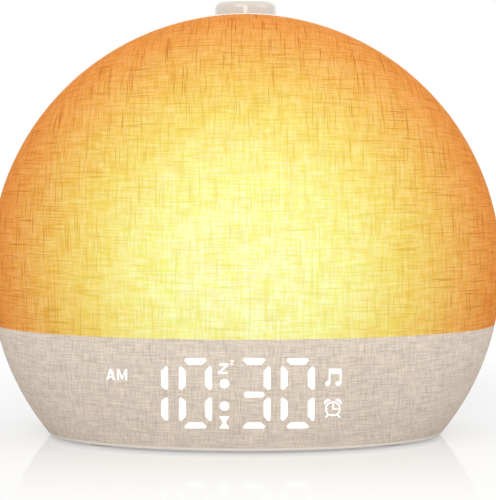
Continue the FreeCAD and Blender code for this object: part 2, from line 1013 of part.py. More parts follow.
def knob_ring(radius, height):
    """Points round the knob's axis."""
    turns = [2 * math.pi * i / knob_sides for i in range(knob_sides)]
    return [V(radius * math.cos(t), knob_y + radius * math.sin(t), height) for t in turns]


def make_dial_knob():
    """Knob with its top edge broken, cupped below round a hub."""
    knob = faceted([knob_ring(knob_radius, knob_low), knob_ring(knob_radius, knob_top - knob_edge),
                    knob_ring(knob_radius - knob_edge, knob_top)])
    foot = V(0, knob_y, knob_low)
    cup = peg(knob_radius - knob_wall, foot, Z_AXIS, ceiling - knob_low, wide_round_sides)
    hub = peg(shaft_radius + hub_wall, V(0, knob_y, hub_low), Z_AXIS, ceiling - hub_low)
    return knob.cut(cup.cut(hub)).cut(flatted(shaft_radius, shaft_flat, hub_low, shaft_top))


def all_nodes():
    nodes = {
        "linen_cover": make_linen_cover(),
        "light_diffuser": make_light_diffuser(),
        "display_shell": make_display_shell(),
        "light_baffle": make_light_baffle(),
        "display_block": make_display_block(),
        "segment_lenses": make_segment_lenses(),
        "display_board": make_display_board(),
        "display_leds": make_display_leds(),
        "mid_frame": make_mid_frame(),
        "lamp_reflector": make_lamp_reflector(),
        "lamp_board": make_lamp_board(),
        "lamp_leds": make_lamp_leds(),
        "rear_shell": make_rear_shell(),
        "case_screws": make_case_screws(),
        "base_plate": make_base_plate(),
        "base_screws": make_base_screws(),
        "rubber_feet": make_rubber_feet(),
        "speaker_gasket": make_speaker_gasket(),
        "speaker_frame": make_speaker_frame(),
        "speaker_cone": make_speaker_cone(),
        "speaker_magnet": make_speaker_magnet(),
        "main_board": make_main_board(),
        "board_chips": make_board_chips(),
        "capacitors": make_capacitors(),
        "cell_holder": make_cell_holder(),
        "coin_cell": make_coin_cell(),
        "display_cable": make_display_cable(),
        "lamp_cable": make_lamp_cable(),
        "power_jack": make_power_jack(),
        "jack_pin": make_jack_pin(),
        "inlet_board": make_inlet_board(),
        "button_board": make_button_board(),
        "tact_switches": make_tact_switches(),
        "encoder_body": make_encoder_body(),
        "encoder_bush": make_encoder_bush(),
        "encoder_nut": make_encoder_nut(),
        "encoder_rotor": make_encoder_rotor(),
        "encoder_board": make_encoder_board(),
        "encoder_shaft": make_encoder_shaft(),
        "dial_knob": make_dial_knob(),
    }
    for name, x in zip(button_names, button_xs()):
        nodes[name + "_button"] = make_button(x)
        nodes[name + "_plunger"] = make_plunger(x)
    return nodes


def main():
    os.makedirs("parts", exist_ok=True)
    for name, shape in all_nodes().items():
        shape.exportStep("parts/" + name + ".step")
        print(name, len(shape.Solids), round(shape.Volume, 1), shape.isValid())


main()
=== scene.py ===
"""Dresses the sunrise alarm clock: linen front, glowing display, pale housing, knob and keys."""
import json
import logging
import math
from dataclasses import dataclass
from enum import Enum

import bmesh
import bpy
from mathutils import Matrix, Vector


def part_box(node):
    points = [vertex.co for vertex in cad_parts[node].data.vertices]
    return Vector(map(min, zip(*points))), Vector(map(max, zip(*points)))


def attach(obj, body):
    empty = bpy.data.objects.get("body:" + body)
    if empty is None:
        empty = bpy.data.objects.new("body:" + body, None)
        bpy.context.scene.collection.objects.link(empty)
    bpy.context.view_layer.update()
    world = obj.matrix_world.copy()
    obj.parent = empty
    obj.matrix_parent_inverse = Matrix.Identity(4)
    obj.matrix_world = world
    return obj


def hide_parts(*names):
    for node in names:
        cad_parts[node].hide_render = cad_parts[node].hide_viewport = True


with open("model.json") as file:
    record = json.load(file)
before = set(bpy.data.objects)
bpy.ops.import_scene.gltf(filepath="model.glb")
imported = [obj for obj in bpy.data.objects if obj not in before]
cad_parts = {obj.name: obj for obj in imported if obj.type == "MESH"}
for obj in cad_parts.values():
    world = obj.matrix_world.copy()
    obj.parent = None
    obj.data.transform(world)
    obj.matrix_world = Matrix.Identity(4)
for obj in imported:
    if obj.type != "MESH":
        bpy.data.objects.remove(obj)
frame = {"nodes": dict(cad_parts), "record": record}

LOG = logging.getLogger("clock")

Point = tuple[float, float]
Span = tuple[float, float]
Triple = tuple[float, float, float]
Colour = tuple[float, float, float]

MM = 0.001
HAIR = 0.001 * MM
WHITE = (1.0, 1.0, 1.0)
UP = Vector((0, 0, 1))
LEFT = Vector((-1, 0, 0))
BACKWARDS = Vector((0, 1, 0))
KEYS = ("alarm_one", "alarm_two", "set", "minus", "plus")

# Edges sharper than this, in degrees, stay sharp.
SHARP_ANGLE = 32.0

# Numbers of the colour sockets on a Mix node.
MIX_FIRST, MIX_SECOND, MIX_RESULT = 6, 7, 2


def colour(red: int, green: int, blue: int) -> Colour:
    """Turns a colour as a screen shows it into the values that shaders use.

    Args:
        red: Its red part, 0 to 255.
        green: Its green part.
        blue: Its blue part.

    Returns:
        The colour in linear values.
    """
    def linear(value: int) -> float:
        """One part of the colour."""
        share = value / 255
        return share / 12.92 if share <= 0.04045 else ((share + 0.055) / 1.055) ** 2.4
    return (linear(red), linear(green), linear(blue))


@dataclass(frozen=True)
class Form:
    """Main sizes of the clock in metres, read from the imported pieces."""

    radius: float
    bulge: float
    split_y: float
    centre_z: float
    seam_z: float
    cover_z: float
    base_z: float
    rim_radius: float
    rim_y: float
    back_y: float

    @classmethod
    def from_frame(cls) -> "Form":
        """Reads the sizes from the boxes of the CAD nodes.

        Returns:
            The clock's main sizes.
        """
        cover_low, cover_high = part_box("linen_cover")
        rear_low, rear_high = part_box("rear_shell")
        baffle_low, baffle_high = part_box("light_baffle")
        base_low, base_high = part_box("base_plate")
        return cls(radius=cover_high[0], bulge=cover_high[1] - cover_low[1],
                   split_y=cover_high[1], centre_z=cover_high[2] - cover_high[0],
                   seam_z=(baffle_low[2] + baffle_high[2]) / 2, cover_z=cover_low[2],
                   base_z=base_low[2], rim_radius=rear_high[0], rim_y=rear_low[1],
                   back_y=rear_high[1])

    def middle(self) -> Vector:
        """The point of the front's axis that lies over the middle of the feet."""
        return Vector((0, 0, self.centre_z))

    def half_ellipse(self, count: int) -> list[Vector]:
        """Draws the front's curve.

        Args:
            count: Its number of steps.

        Returns:
            Points from the nose to the rim, at the height of the front's middle.
        """
        turns = [math.pi / 2 * i / count for i in range(count + 1)]
        return [Vector((self.radius * math.sin(t), self.split_y - self.bulge * math.cos(t),
                        self.centre_z)) for t in turns]

    def on_dome(self, x: float, z: float, proud: float = 0.0) -> Vector:
        """Finds a point of the front's surface.

        Args:
            x: Place across the face, in metres.
            z: Height above the feet, in metres.
            proud: How far the point stands out of the surface.

        Returns:
            The point in the row frame.
        """
        rise = z - self.centre_z
        depth = self.bulge * math.sqrt(max(0.0, 1 - (x * x + rise * rise) / self.radius ** 2))
        outwards = Vector((x / self.radius ** 2, -depth / self.bulge ** 2, rise / self.radius ** 2))
        return Vector((x, self.split_y - depth, z)) + outwards.normalized() * proud


class Nodes:
    """Short calls for building a tree of shader nodes."""

    def __init__(self, tree: bpy.types.NodeTree) -> None:
        """Takes the tree that the nodes go into."""
        self.tree = tree

    def node(self, kind: str, **settings: object) -> bpy.types.Node:
        """Adds a node.

        Args:
            kind: Its type.
            settings: What to set on it.

        Returns:
            The node.
        """
        node = self.tree.nodes.new(kind)
        for name, value in settings.items():
            setattr(node, name, value)
        return node

    def feed(self, socket: bpy.types.NodeSocket, value: object) -> None:
        """Links a socket to another, or writes a plain value into it.

        Args:
            socket: The input to fill.
            value: An output, a number, a vector or a colour of three parts.
        """
        if isinstance(value, bpy.types.NodeSocket):
            self.tree.links.new(value, socket)
        elif isinstance(value, tuple) and len(value) == 3 and socket.type == "RGBA":
            socket.default_value = (*value, 1.0)
        else:
            socket.default_value = value

    def filled(self, kind: str, inputs: dict[object, object],
               **settings: object) -> bpy.types.NodeSocket:
        """Adds a node and fills its inputs.

        Args:
            kind: Its type.
            inputs: What goes into each input, by its name or its number.
            settings: What to set on it.

        Returns:
            Its first output.
        """
        node = self.node(kind, **settings)
        for key, value in inputs.items():
            self.feed(node.inputs[key], value)
        return node.outputs[0]

    def math(self, operation: str, *values: object, clamp: bool = False) -> bpy.types.NodeSocket:
        """One step of arithmetic."""
        return self.filled("ShaderNodeMath", dict(enumerate(values)), operation=operation,
                           use_clamp=clamp)

    def swing(self, noise: object, amount: float, about: object, middle: float = 0.5,
              clamp: bool = False) -> bpy.types.NodeSocket:
        """A value that moves about another as a noise moves about its middle.

        Args:
            noise: The noise.
            amount: How much of its movement is taken.
            about: The value to move about.
            middle: The noise's middle.
            clamp: Whether the result is kept between 0 and 1.

        Returns:
            The moving value.
        """
        away = self.math("SUBTRACT", noise, middle)
        return self.math("MULTIPLY_ADD", away, amount, about, clamp=clamp)

    def span(self, first: object, second: object, squash: float = 1.0) -> bpy.types.NodeSocket:
        """Length of a line from its two parts.

        Args:
            first: Its first part.
            second: Its second part.
            squash: How much the first part's square counts.

        Returns:
            The length.
        """
        wide = self.math("MULTIPLY", first, self.math("MULTIPLY", first, squash))
        return self.math("SQRT", self.math("ADD", wide, self.math("MULTIPLY", second, second)))

    def seen(self) -> bpy.types.NodeSocket:
        """Tells what is looked at from what only gives light.

        Returns:
            1 for the camera's own rays, in mirrors and glass too, and 0 for light.
        """
        path = self.node("ShaderNodeLightPath")
        mirrored = self.math("MAXIMUM", path.outputs["Is Glossy Ray"],
                             path.outputs["Is Transmission Ray"])
        return self.math("MAXIMUM", path.outputs["Is Camera Ray"], mirrored)

    def mix(self, factor: object, first: object, second: object) -> bpy.types.NodeSocket:
        """A colour between two others.

        Args:
            factor: 0 for the first colour and 1 for the second.
            first: The first colour.
            second: The second colour.

        Returns:
            The mixed colour.
        """
        node = self.node("ShaderNodeMix", data_type="RGBA")
        self.feed(node.inputs["Factor"], factor)
        self.feed(node.inputs[MIX_FIRST], first)
        self.feed(node.inputs[MIX_SECOND], second)
        return node.outputs[MIX_RESULT]

    def scaled(self, shade: object, factor: object) -> bpy.types.NodeSocket:
        """A colour made lighter or darker by a factor."""
        return self.filled("ShaderNodeVectorMath", {0: shade, "Scale": factor},
                           operation="SCALE")

    def times(self, first: object, second: object) -> bpy.types.NodeSocket:
        """One colour multiplied by another."""
        return self.filled("ShaderNodeVectorMath", {0: first, 1: second}, operation="MULTIPLY")

    def ramp(self, factor: object, stops: tuple[tuple[float, Colour], ...]
             ) -> bpy.types.NodeSocket:
        """A colour read from a ramp.

        Args:
            factor: Where on the ramp to read, from 0 to 1.
            stops: Places on the ramp with their colours.

        Returns:
            The colour.
        """
        node = self.node("ShaderNodeValToRGB")
        elements = node.color_ramp.elements
        while len(elements) < len(stops):
            elements.new(0.5)
        for element, (place, stop) in zip(elements, stops):
            element.position = place
            element.color = (*stop, 1.0)
        self.feed(node.inputs[0], factor)
        return node.outputs[0]

    def steps(self, factor: object, low: float, high: float) -> bpy.types.NodeSocket:
        """A value that climbs from 0 at low to 1 at high."""
        return self.filled("ShaderNodeMapRange", {0: factor, 1: low, 2: high},
                           interpolation_type="SMOOTHSTEP")

    def place(self, uv: bool = False) -> bpy.types.NodeSocket:
        """The piece's own coordinates: its UV map, or its place in metres."""
        return self.node("ShaderNodeTexCoord").outputs["UV" if uv else "Object"]

    def stretched(self, vector: object, scale: Triple,
                  offset: Triple = (0.0, 0.0, 0.0)) -> bpy.types.NodeSocket:
        """Coordinates scaled by axis and moved."""
        return self.filled("ShaderNodeMapping",
                           {"Vector": vector, "Scale": scale, "Location": offset})

    def noise(self, vector: object, scale: float, detail: float = 2.0) -> bpy.types.NodeSocket:
        """Soft random values about one half."""
        return self.filled("ShaderNodeTexNoise",
                           {"Vector": vector, "Scale": scale, "Detail": detail})

    def split(self, vector: object) -> tuple[bpy.types.NodeSocket, ...]:
        """Takes a vector apart.

        Args:
            vector: The vector.

        Returns:
            Its three parts.
        """
        node = self.node("ShaderNodeSeparateXYZ")
        self.feed(node.inputs[0], vector)
        return tuple(node.outputs)


class Graph(Nodes):
    """The nodes of one material, about its Principled shader."""

    def __init__(self, name: str) -> None:
        """Starts a material.

        Args:
            name: Its name.
        """
        self.material = bpy.data.materials.new(name)
        self.material.use_nodes = True
        super().__init__(self.material.node_tree)
        self.shader = self.tree.nodes["Principled BSDF"]

    def set(self, inputs: dict[str, object]) -> None:
        """Sets or links inputs of the shader, each by its name."""
        for name, value in inputs.items():
            self.feed(self.shader.inputs[name], value)

    def bump(self, height: object, depth: float, strength: float) -> None:
        """Raises the surface by a height that runs from 0 to 1."""
        self.set({"Normal": self.filled("ShaderNodeBump", {
            "Height": height, "Distance": depth, "Strength": strength})})


@dataclass(frozen=True)
class Thread:
    """Random streaks that run one way through the cloth, with sizes in metres."""

    width: float
    length: float
    upright: bool
    seed: float

    def streaks(self, graph: Graph, uv: object) -> bpy.types.NodeSocket:
        """Makes the streaks.

        Args:
            graph: The material that they are for.
            uv: The cloth's own coordinates.

        Returns:
            Soft random values about one half.
        """
        across, along = 1 / self.width, 1 / self.length
        scale = (across, along, 1.0) if self.upright else (along, across, 1.0)
        return graph.noise(graph.stretched(uv, scale, (self.seed,) * 3), 1.0, 1.0)


@dataclass(frozen=True)
class Linen:
    """Slubby linen, plain below the seam and glowing above it; the glow is painted, part of it into
    the base colour and the rest as emission.

    The glow colours run from the middle of the dome to its rim. A span says where a step
    starts and ends, in the noise's values or in shares of the front's radius.
    """

    form: Form
    glow: tuple[tuple[float, Colour], ...] = (
        (0.00, colour(250, 250, 184)),
        (0.20, colour(248, 248, 180)),
        (0.31, colour(247, 245, 167)),
        (0.43, colour(246, 237, 152)),
        (0.57, colour(243, 222, 124)),
        (0.72, colour(240, 200, 105)),
        (0.82, colour(237, 181, 95)),
        (0.88, colour(235, 167, 84)),
        (0.94, colour(231, 153, 72)),
        (1.00, colour(223, 141, 62)),
    )
    glow_rise: float = 3.6 * MM
    glow_share: float = 0.55
    seam_blur: float = 0.12 * MM
    cloth: Colour = colour(220, 206, 191)
    dark_thread: Colour = colour(176, 160, 142)
    light_thread: Colour = colour(236, 226, 212)
    dark_share: float = 0.35
    light_share: float = 0.40
    # Painted glow through the weave: deep and pale tints, and painted shade on the dark slubs,
    # olive in the middle and orange at the rim.
    deep_middle: Colour = (0.97, 0.95, 0.54)
    deep_rim: Colour = (0.90, 0.81, 0.54)
    deep_span: Span = (0.25, 0.85)
    pale: Colour = (1.03, 1.05, 1.32)
    contrast: float = 3.0
    olive: Colour = (0.86, 0.80, 0.42)
    dim_slub_rim: Colour = (0.66, 0.42, 0.24)
    dim_slub_span: Span = (0.35, 0.95)
    dim_slub_depth: float = 0.55
    dim_slub_gain: float = 0.4
    warm: Colour = (1.0, 0.955, 0.86)
    lemon: Colour = (1.0, 1.02, 0.98)
    blotch_scale: Triple = (150.0, 190.0, 1.0)
    blotch_place: Triple = (5.2, 9.4, 1.0)
    blotch_span: Span = (0.36, 0.64)
    warp: Thread = Thread(0.36 * MM, 4 * MM, True, 3.1)
    weft: Thread = Thread(0.36 * MM, 5 * MM, False, 8.7)
    dark_slubs: tuple[Thread, Thread] = (Thread(0.37 * MM, 13 * MM, True, 21.3),
                                         Thread(0.37 * MM, 15 * MM, False, 34.9))
    dark_span: Span = (0.60, 0.70)
    light_slubs: tuple[Thread, Thread] = (Thread(0.37 * MM, 9 * MM, True, 47.2),
                                          Thread(0.37 * MM, 9 * MM, False, 58.6))
    light_span: Span = (0.62, 0.76)
    patches: tuple[Thread, Thread] = (Thread(0.8 * MM, 7 * MM, True, 71.4),
                                      Thread(0.7 * MM, 8 * MM, False, 83.8))
    weave_tone: float = 0.55
    patch_tone: float = 0.10
    roughness: float = 0.92
    specular: float = 0.05
    sheen: float = 0.02
    relief: float = 0.12 * MM
    relief_strength: float = 0.55

    @staticmethod
    def slubs(graph: Graph, uv: object, threads: tuple[Thread, Thread],
              span: Span) -> bpy.types.NodeSocket:
        """Finds the thicker threads that run either way.

        Args:
            graph: The material.
            uv: The cloth's own coordinates.
            threads: Upright and level streaks.
            span: Which of their values count as a slub.

        Returns:
            1 on a slub and 0 beside it.
        """
        upright, level = (graph.steps(thread.streaks(graph, uv), *span) for thread in threads)
        return graph.math("MAXIMUM", upright, level)

    def band(self, graph: Graph, dark: object, light: object,
             tone: object) -> bpy.types.NodeSocket:
        """Colours the plain cloth below the seam.

        Args:
            graph: The material.
            dark: Where the dark slubs are.
            light: Where the light slubs are.
            tone: How light each place of the weave is.

        Returns:
            The colour.
        """
        shade = graph.mix(graph.math("MULTIPLY", dark, self.dark_share), self.cloth,
                          self.dark_thread)
        shade = graph.mix(graph.math("MULTIPLY", light, self.light_share), shade,
                          self.light_thread)
        return graph.scaled(shade, tone)

    def lamp(self, graph: Graph, uv: object, share: object, mood: object,
             dark: object) -> bpy.types.NodeSocket:
        """Paints the glow of the lit cloth above the seam, paler where the weave is thin and dimmer
        on the dark slubs.

        Args:
            graph: The material.
            uv: The cloth's own coordinates.
            share: Distance from the middle of the glow, as a share of the radius.
            mood: The weave and its patches together, about 1.
            dark: Where the dark slubs are.

        Returns:
            The colour.
        """
        # Painted light and shade in the glow: thin weave paler, thick weave deeper, dark slubs
        # passing less light.
        deep = graph.mix(graph.steps(share, *self.deep_span), self.deep_middle, self.deep_rim)
        tint = graph.mix(graph.swing(mood, self.contrast, 0.5, 1.0, clamp=True), deep, self.pale)
        slub = graph.mix(graph.steps(share, *self.dim_slub_span), self.olive, self.dim_slub_rim)
        depth = graph.math("MULTIPLY_ADD", share, self.dim_slub_gain, self.dim_slub_depth)
        tint = graph.mix(graph.math("MULTIPLY", dark, depth), tint, slub)
        blotch = graph.noise(graph.stretched(uv, self.blotch_scale, self.blotch_place), 1.0)
        hue = graph.mix(graph.steps(blotch, *self.blotch_span), self.warm, self.lemon)
        return graph.times(graph.times(graph.ramp(share, self.glow), hue), tint)

    def build(self) -> bpy.types.Material:
        """Makes the material.

        Returns:
            The finish.
        """
        graph = Graph("linen")
        uv = graph.place(uv=True)
        weave = graph.math("ADD", self.warp.streaks(graph, uv), self.weft.streaks(graph, uv))
        dark = self.slubs(graph, uv, self.dark_slubs, self.dark_span)
        light = self.slubs(graph, uv, self.light_slubs, self.light_span)
        upright, level = (thread.streaks(graph, uv) for thread in self.patches)
        patchy = graph.math("MULTIPLY_ADD", upright, 0.5, graph.math("MULTIPLY", level, 0.5))
        tone = graph.swing(patchy, self.patch_tone,
                           graph.swing(weave, self.weave_tone, 1.0, 1.0))
        band = self.band(graph, dark, light, tone)

        x, _, z = graph.split(graph.place())
        rise = graph.math("SUBTRACT", z, self.form.centre_z + self.glow_rise)
        share = graph.math("DIVIDE", graph.span(x, rise), self.form.radius)
        mood = graph.math("MULTIPLY_ADD", weave, 0.5, patchy)
        lamp = self.lamp(graph, uv, share, mood, dark)
        seam = self.form.seam_z
        lit = graph.steps(z, seam - self.seam_blur, seam + self.seam_blur)
        # Above the seam the base colour is painted glow and the rest of the glow is emission; below
        # it the cloth keeps its own colour.
        graph.set({
            "Base Color": graph.mix(lit, band, graph.scaled(lamp, 1 - self.glow_share)),
            "Emission Color": graph.scaled(lamp, graph.math("MULTIPLY", lit, self.glow_share)),
            "Emission Strength": 1.0,
            "Roughness": self.roughness,
            "Specular IOR Level": self.specular,
            "Sheen Weight": self.sheen,
        })
        slubs = graph.math("MULTIPLY", graph.math("ADD", dark, light), 0.5)
        graph.bump(graph.math("ADD", graph.math("MULTIPLY", weave, 0.5), slubs),
                   self.relief, self.relief_strength)
        return graph.material


@dataclass(frozen=True)
class Moulded:
    """Moulded plastic with a fine grain and slight cloudiness."""

    name: str
    shade: Colour
    roughness: float = 0.5
    grain: float = 0.02 * MM
    grain_scale: float = 2600.0
    coat: float = 0.0
    cloud_scale: float = 22.0
    cloud_tone: float = 0.05
    cloud_roughness: float = 0.12
    grain_strength: float = 0.5

    def build(self) -> bpy.types.Material:
        """Makes the material.

        Returns:
            The finish.
        """
        graph = Graph(self.name)
        place = graph.place()
        cloudy = graph.noise(place, self.cloud_scale, 3.0)
        graph.set({
            "Base Color": graph.scaled(self.shade, graph.swing(cloudy, self.cloud_tone, 1.0)),
            "Roughness": graph.swing(cloudy, self.cloud_roughness, self.roughness),
            "Coat Weight": self.coat,
        })
        graph.bump(graph.noise(place, self.grain_scale), self.grain, self.grain_strength)
        return graph.material


@dataclass(frozen=True)
class Metal:
    """Plated or turned metal with fine scratches."""

    name: str
    shade: Colour
    roughness: float = 0.3
    scratch_scale: Triple = (900.0, 120.0, 900.0)
    scratch_tone: float = 0.14
    scratch_roughness: float = 0.25
    scratch_depth: float = 0.01 * MM
    scratch_strength: float = 0.4

    def build(self) -> bpy.types.Material:
        """Makes the material.

        Returns:
            The finish.
        """
        graph = Graph(self.name)
        streaks = graph.noise(graph.stretched(graph.place(), self.scratch_scale), 1.0, 3.0)
        graph.set({
            "Base Color": graph.scaled(self.shade, graph.swing(streaks, self.scratch_tone, 1.0)),
            "Roughness": graph.swing(streaks, self.scratch_roughness, self.roughness),
            "Metallic": 1.0,
        })
        graph.bump(streaks, self.scratch_depth, self.scratch_strength)
        return graph.material


@dataclass(frozen=True)
class Board:
    """Circuit board with faint tracks under its green mask."""

    name: str = "circuit_board"
    mask: Colour = colour(34, 92, 52)
    track: Colour = colour(58, 128, 74)
    roughness: float = 0.35
    cell_scale: float = 260.0
    track_width: float = 0.03
    track_height: float = 0.02 * MM
    track_strength: float = 0.5

    def build(self) -> bpy.types.Material:
        """Makes the material.

        Returns:
            The finish.
        """
        graph = Graph(self.name)
        cells = graph.node("ShaderNodeTexBrick")
        for name, value in (("Vector", graph.place()), ("Scale", self.cell_scale),
                            ("Mortar Size", self.track_width)):
            graph.feed(cells.inputs[name], value)
        tracks = cells.outputs["Fac"]
        graph.set({"Base Color": graph.mix(tracks, self.mask, self.track),
                   "Roughness": self.roughness})
        graph.bump(tracks, self.track_height, self.track_strength)
        return graph.material


@dataclass(frozen=True)
class Glow:
    """Light of the display as the cloth shows it, crossed by its threads."""

    name: str = "display_glow"
    light: Colour = (1.0, 0.99, 0.975)
    surface: Colour = (0.55, 0.55, 0.54)
    thread_scale: Triple = (2300.0, 300.0, 2300.0)
    thread_share: float = 0.10
    darkest: float = 0.95
    roughness: float = 0.9
    specular: float = 0.1
    strength: float = 0.62

    def build(self) -> bpy.types.Material:
        """Makes the material.

        Returns:
            The finish.
        """
        graph = Graph(self.name)
        weave = graph.noise(graph.stretched(graph.place(), self.thread_scale), 1.0, 1.0)
        level = graph.math("MULTIPLY_ADD", weave, self.thread_share, self.darkest)
        graph.set({
            "Base Color": self.surface,
            "Roughness": self.roughness,
            "Specular IOR Level": self.specular,
            "Emission Color": graph.scaled(self.light, level),
            "Emission Strength": self.strength,
        })
        return graph.material


class Shape:
    """A mesh being modelled, with the few operations that the pieces share."""

    def __init__(self, name: str) -> None:
        """Starts an empty mesh for the piece of that name."""
        self.name = name
        self.bm = bmesh.new()

    def lathe(self, profile: list[Vector], centre: Vector, axis: Vector, steps: int) -> None:
        """Turns an open profile into a surface.

        Args:
            profile: Points from one end to the other.
            centre: A point on the axis.
            axis: The axis that the profile is turned about.
            steps: How many sides the turned surface has.
        """
        verts = [self.bm.verts.new(point) for point in profile]
        edges = [self.bm.edges.new(pair) for pair in zip(verts, verts[1:])]
        bmesh.ops.spin(self.bm, geom=verts + edges, cent=centre, axis=axis, angle=math.tau,
                       steps=steps, use_merge=True, use_duplicate=False)
        self.close_up()

    def close_up(self, reach: float = 2 * HAIR) -> None:
        """Merges doubled points and turns the faces outwards."""
        bmesh.ops.remove_doubles(self.bm, verts=self.bm.verts, dist=reach)
        bmesh.ops.recalc_face_normals(self.bm, faces=self.bm.faces)

    def cube(self, low: Vector, high: Vector) -> list[bmesh.types.BMVert]:
        """Adds a block.

        Args:
            low: Its lowest corner.
            high: Its highest corner.

        Returns:
            Its points.
        """
        size = high - low
        place = Matrix.Translation((low + high) / 2) @ Matrix.Diagonal((*size, 1.0))
        return bmesh.ops.create_cube(self.bm, size=1.0, matrix=place)["verts"]

    def plate(self, outline: list[Point], lift: Vector, base: Vector, right: Vector,
              up: Vector) -> list[bmesh.types.BMVert]:
        """Adds a flat plate of an outline, pushed along lift.

        Args:
            outline: Points of the outline, in the plate's own two directions.
            lift: The plate's thickness as a vector.
            base: Where the outline's origin lies.
            right: The first direction.
            up: The second direction.

        Returns:
            The plate's points.
        """
        verts = [self.bm.verts.new(base + right * u + up * v) for u, v in outline]
        face = self.bm.faces.new(verts)
        pushed = bmesh.ops.extrude_face_region(self.bm, geom=[face])["geom"]
        top = [item for item in pushed if isinstance(item, bmesh.types.BMVert)]
        bmesh.ops.translate(self.bm, verts=top, vec=lift)
        return verts + top

    def bevel(self, edges: list[bmesh.types.BMEdge], width: float, segments: int) -> None:
        """Rounds some edges."""
        bmesh.ops.bevel(self.bm, geom=edges, offset=width, offset_type="OFFSET", affect="EDGES",
                        segments=segments, profile=0.5, clamp_overlap=True, material=-1)

    def cut_off(self, point: Vector, outwards: Vector, fill: bool = False) -> None:
        """Removes what lies beyond a plane.

        Args:
            point: A point of the plane.
            outwards: The side that goes.
            fill: Whether the cut is closed.
        """
        geom = self.bm.verts[:] + self.bm.edges[:] + self.bm.faces[:]
        cut = bmesh.ops.bisect_plane(self.bm, geom=geom, plane_co=point, plane_no=outwards,
                                     clear_outer=True)["geom_cut"]
        if fill:
            edges = [item for item in cut if isinstance(item, bmesh.types.BMEdge)]
            bmesh.ops.contextual_create(self.bm, geom=edges)

    def smooth(self, angle: float) -> None:
        """Shades the faces smooth and keeps the sharp edges.

        Args:
            angle: Edges sharper than this, in degrees, stay sharp.
        """
        limit = math.radians(angle)
        for face in self.bm.faces:
            face.smooth = True
        for edge in self.bm.edges:
            edge.smooth = len(edge.link_faces) != 2 or edge.calc_face_angle(0.0) < limit

    def make(self) -> bpy.types.Object:
        """Puts the mesh into the scene and drops the working copy.

        Returns:
            The object that holds it.
        """
        mesh = bpy.data.meshes.new(self.name)
        self.bm.to_mesh(mesh)
        self.bm.free()
        piece = bpy.data.objects.new(self.name, mesh)
        bpy.context.scene.collection.objects.link(piece)
        return piece

    def finish(self, material: bpy.types.Material, body: str, slot: str,
               replaces: tuple[str, ...] = (),
               angle: float = SHARP_ANGLE) -> bpy.types.Object:
        """Makes the piece from its mesh.

        Args:
            material: Its finish.
            body: The body that it rides on.
            slot: The record's material slot; not used.
            replaces: CAD nodes that it stands for.
            angle: Edges sharper than this, in degrees, stay sharp.

        Returns:
            The finished object.
        """
        self.smooth(angle)
        piece = self.make()
        piece.data.materials.append(material)
        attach(piece, body)
        if replaces:
            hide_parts(*replaces)
        LOG.info("%s: %d faces, on %s", self.name, len(piece.data.polygons), body)
        return piece


def carve(piece: bpy.types.Object, cutter: Shape) -> None:
    """Cuts a shape out of a piece and keeps the result as its mesh.

    Args:
        piece: The piece.
        cutter: The shape.
    """
    tool = cutter.make()
    modifier = piece.modifiers.new("carve", "BOOLEAN")
    modifier.operation = "DIFFERENCE"
    modifier.solver = "EXACT"
    modifier.use_self = True
    modifier.object = tool
    seen = piece.evaluated_get(bpy.context.evaluated_depsgraph_get())
    carved = bpy.data.meshes.new_from_object(seen)
    piece.modifiers.clear()
    piece.data = carved
    bpy.data.objects.remove(tool)


def resmooth(piece: bpy.types.Object, angle: float) -> None:
    """Shades a carved piece again, with its sharp edges kept.

    Args:
        piece: The piece.
        angle: Edges sharper than this, in degrees, stay sharp.
    """
    shape = Shape(piece.name)
    shape.bm.from_mesh(piece.data)
    bmesh.ops.remove_doubles(shape.bm, verts=shape.bm.verts, dist=HAIR)
    shape.smooth(angle)
    shape.bm.to_mesh(piece.data)
    shape.bm.free()


class Layer(Enum):
    """How far a layer of the front stands out of the cloth's outer face."""

    SIGNS = 0.05 * MM
    BEHIND = -0.25 * MM


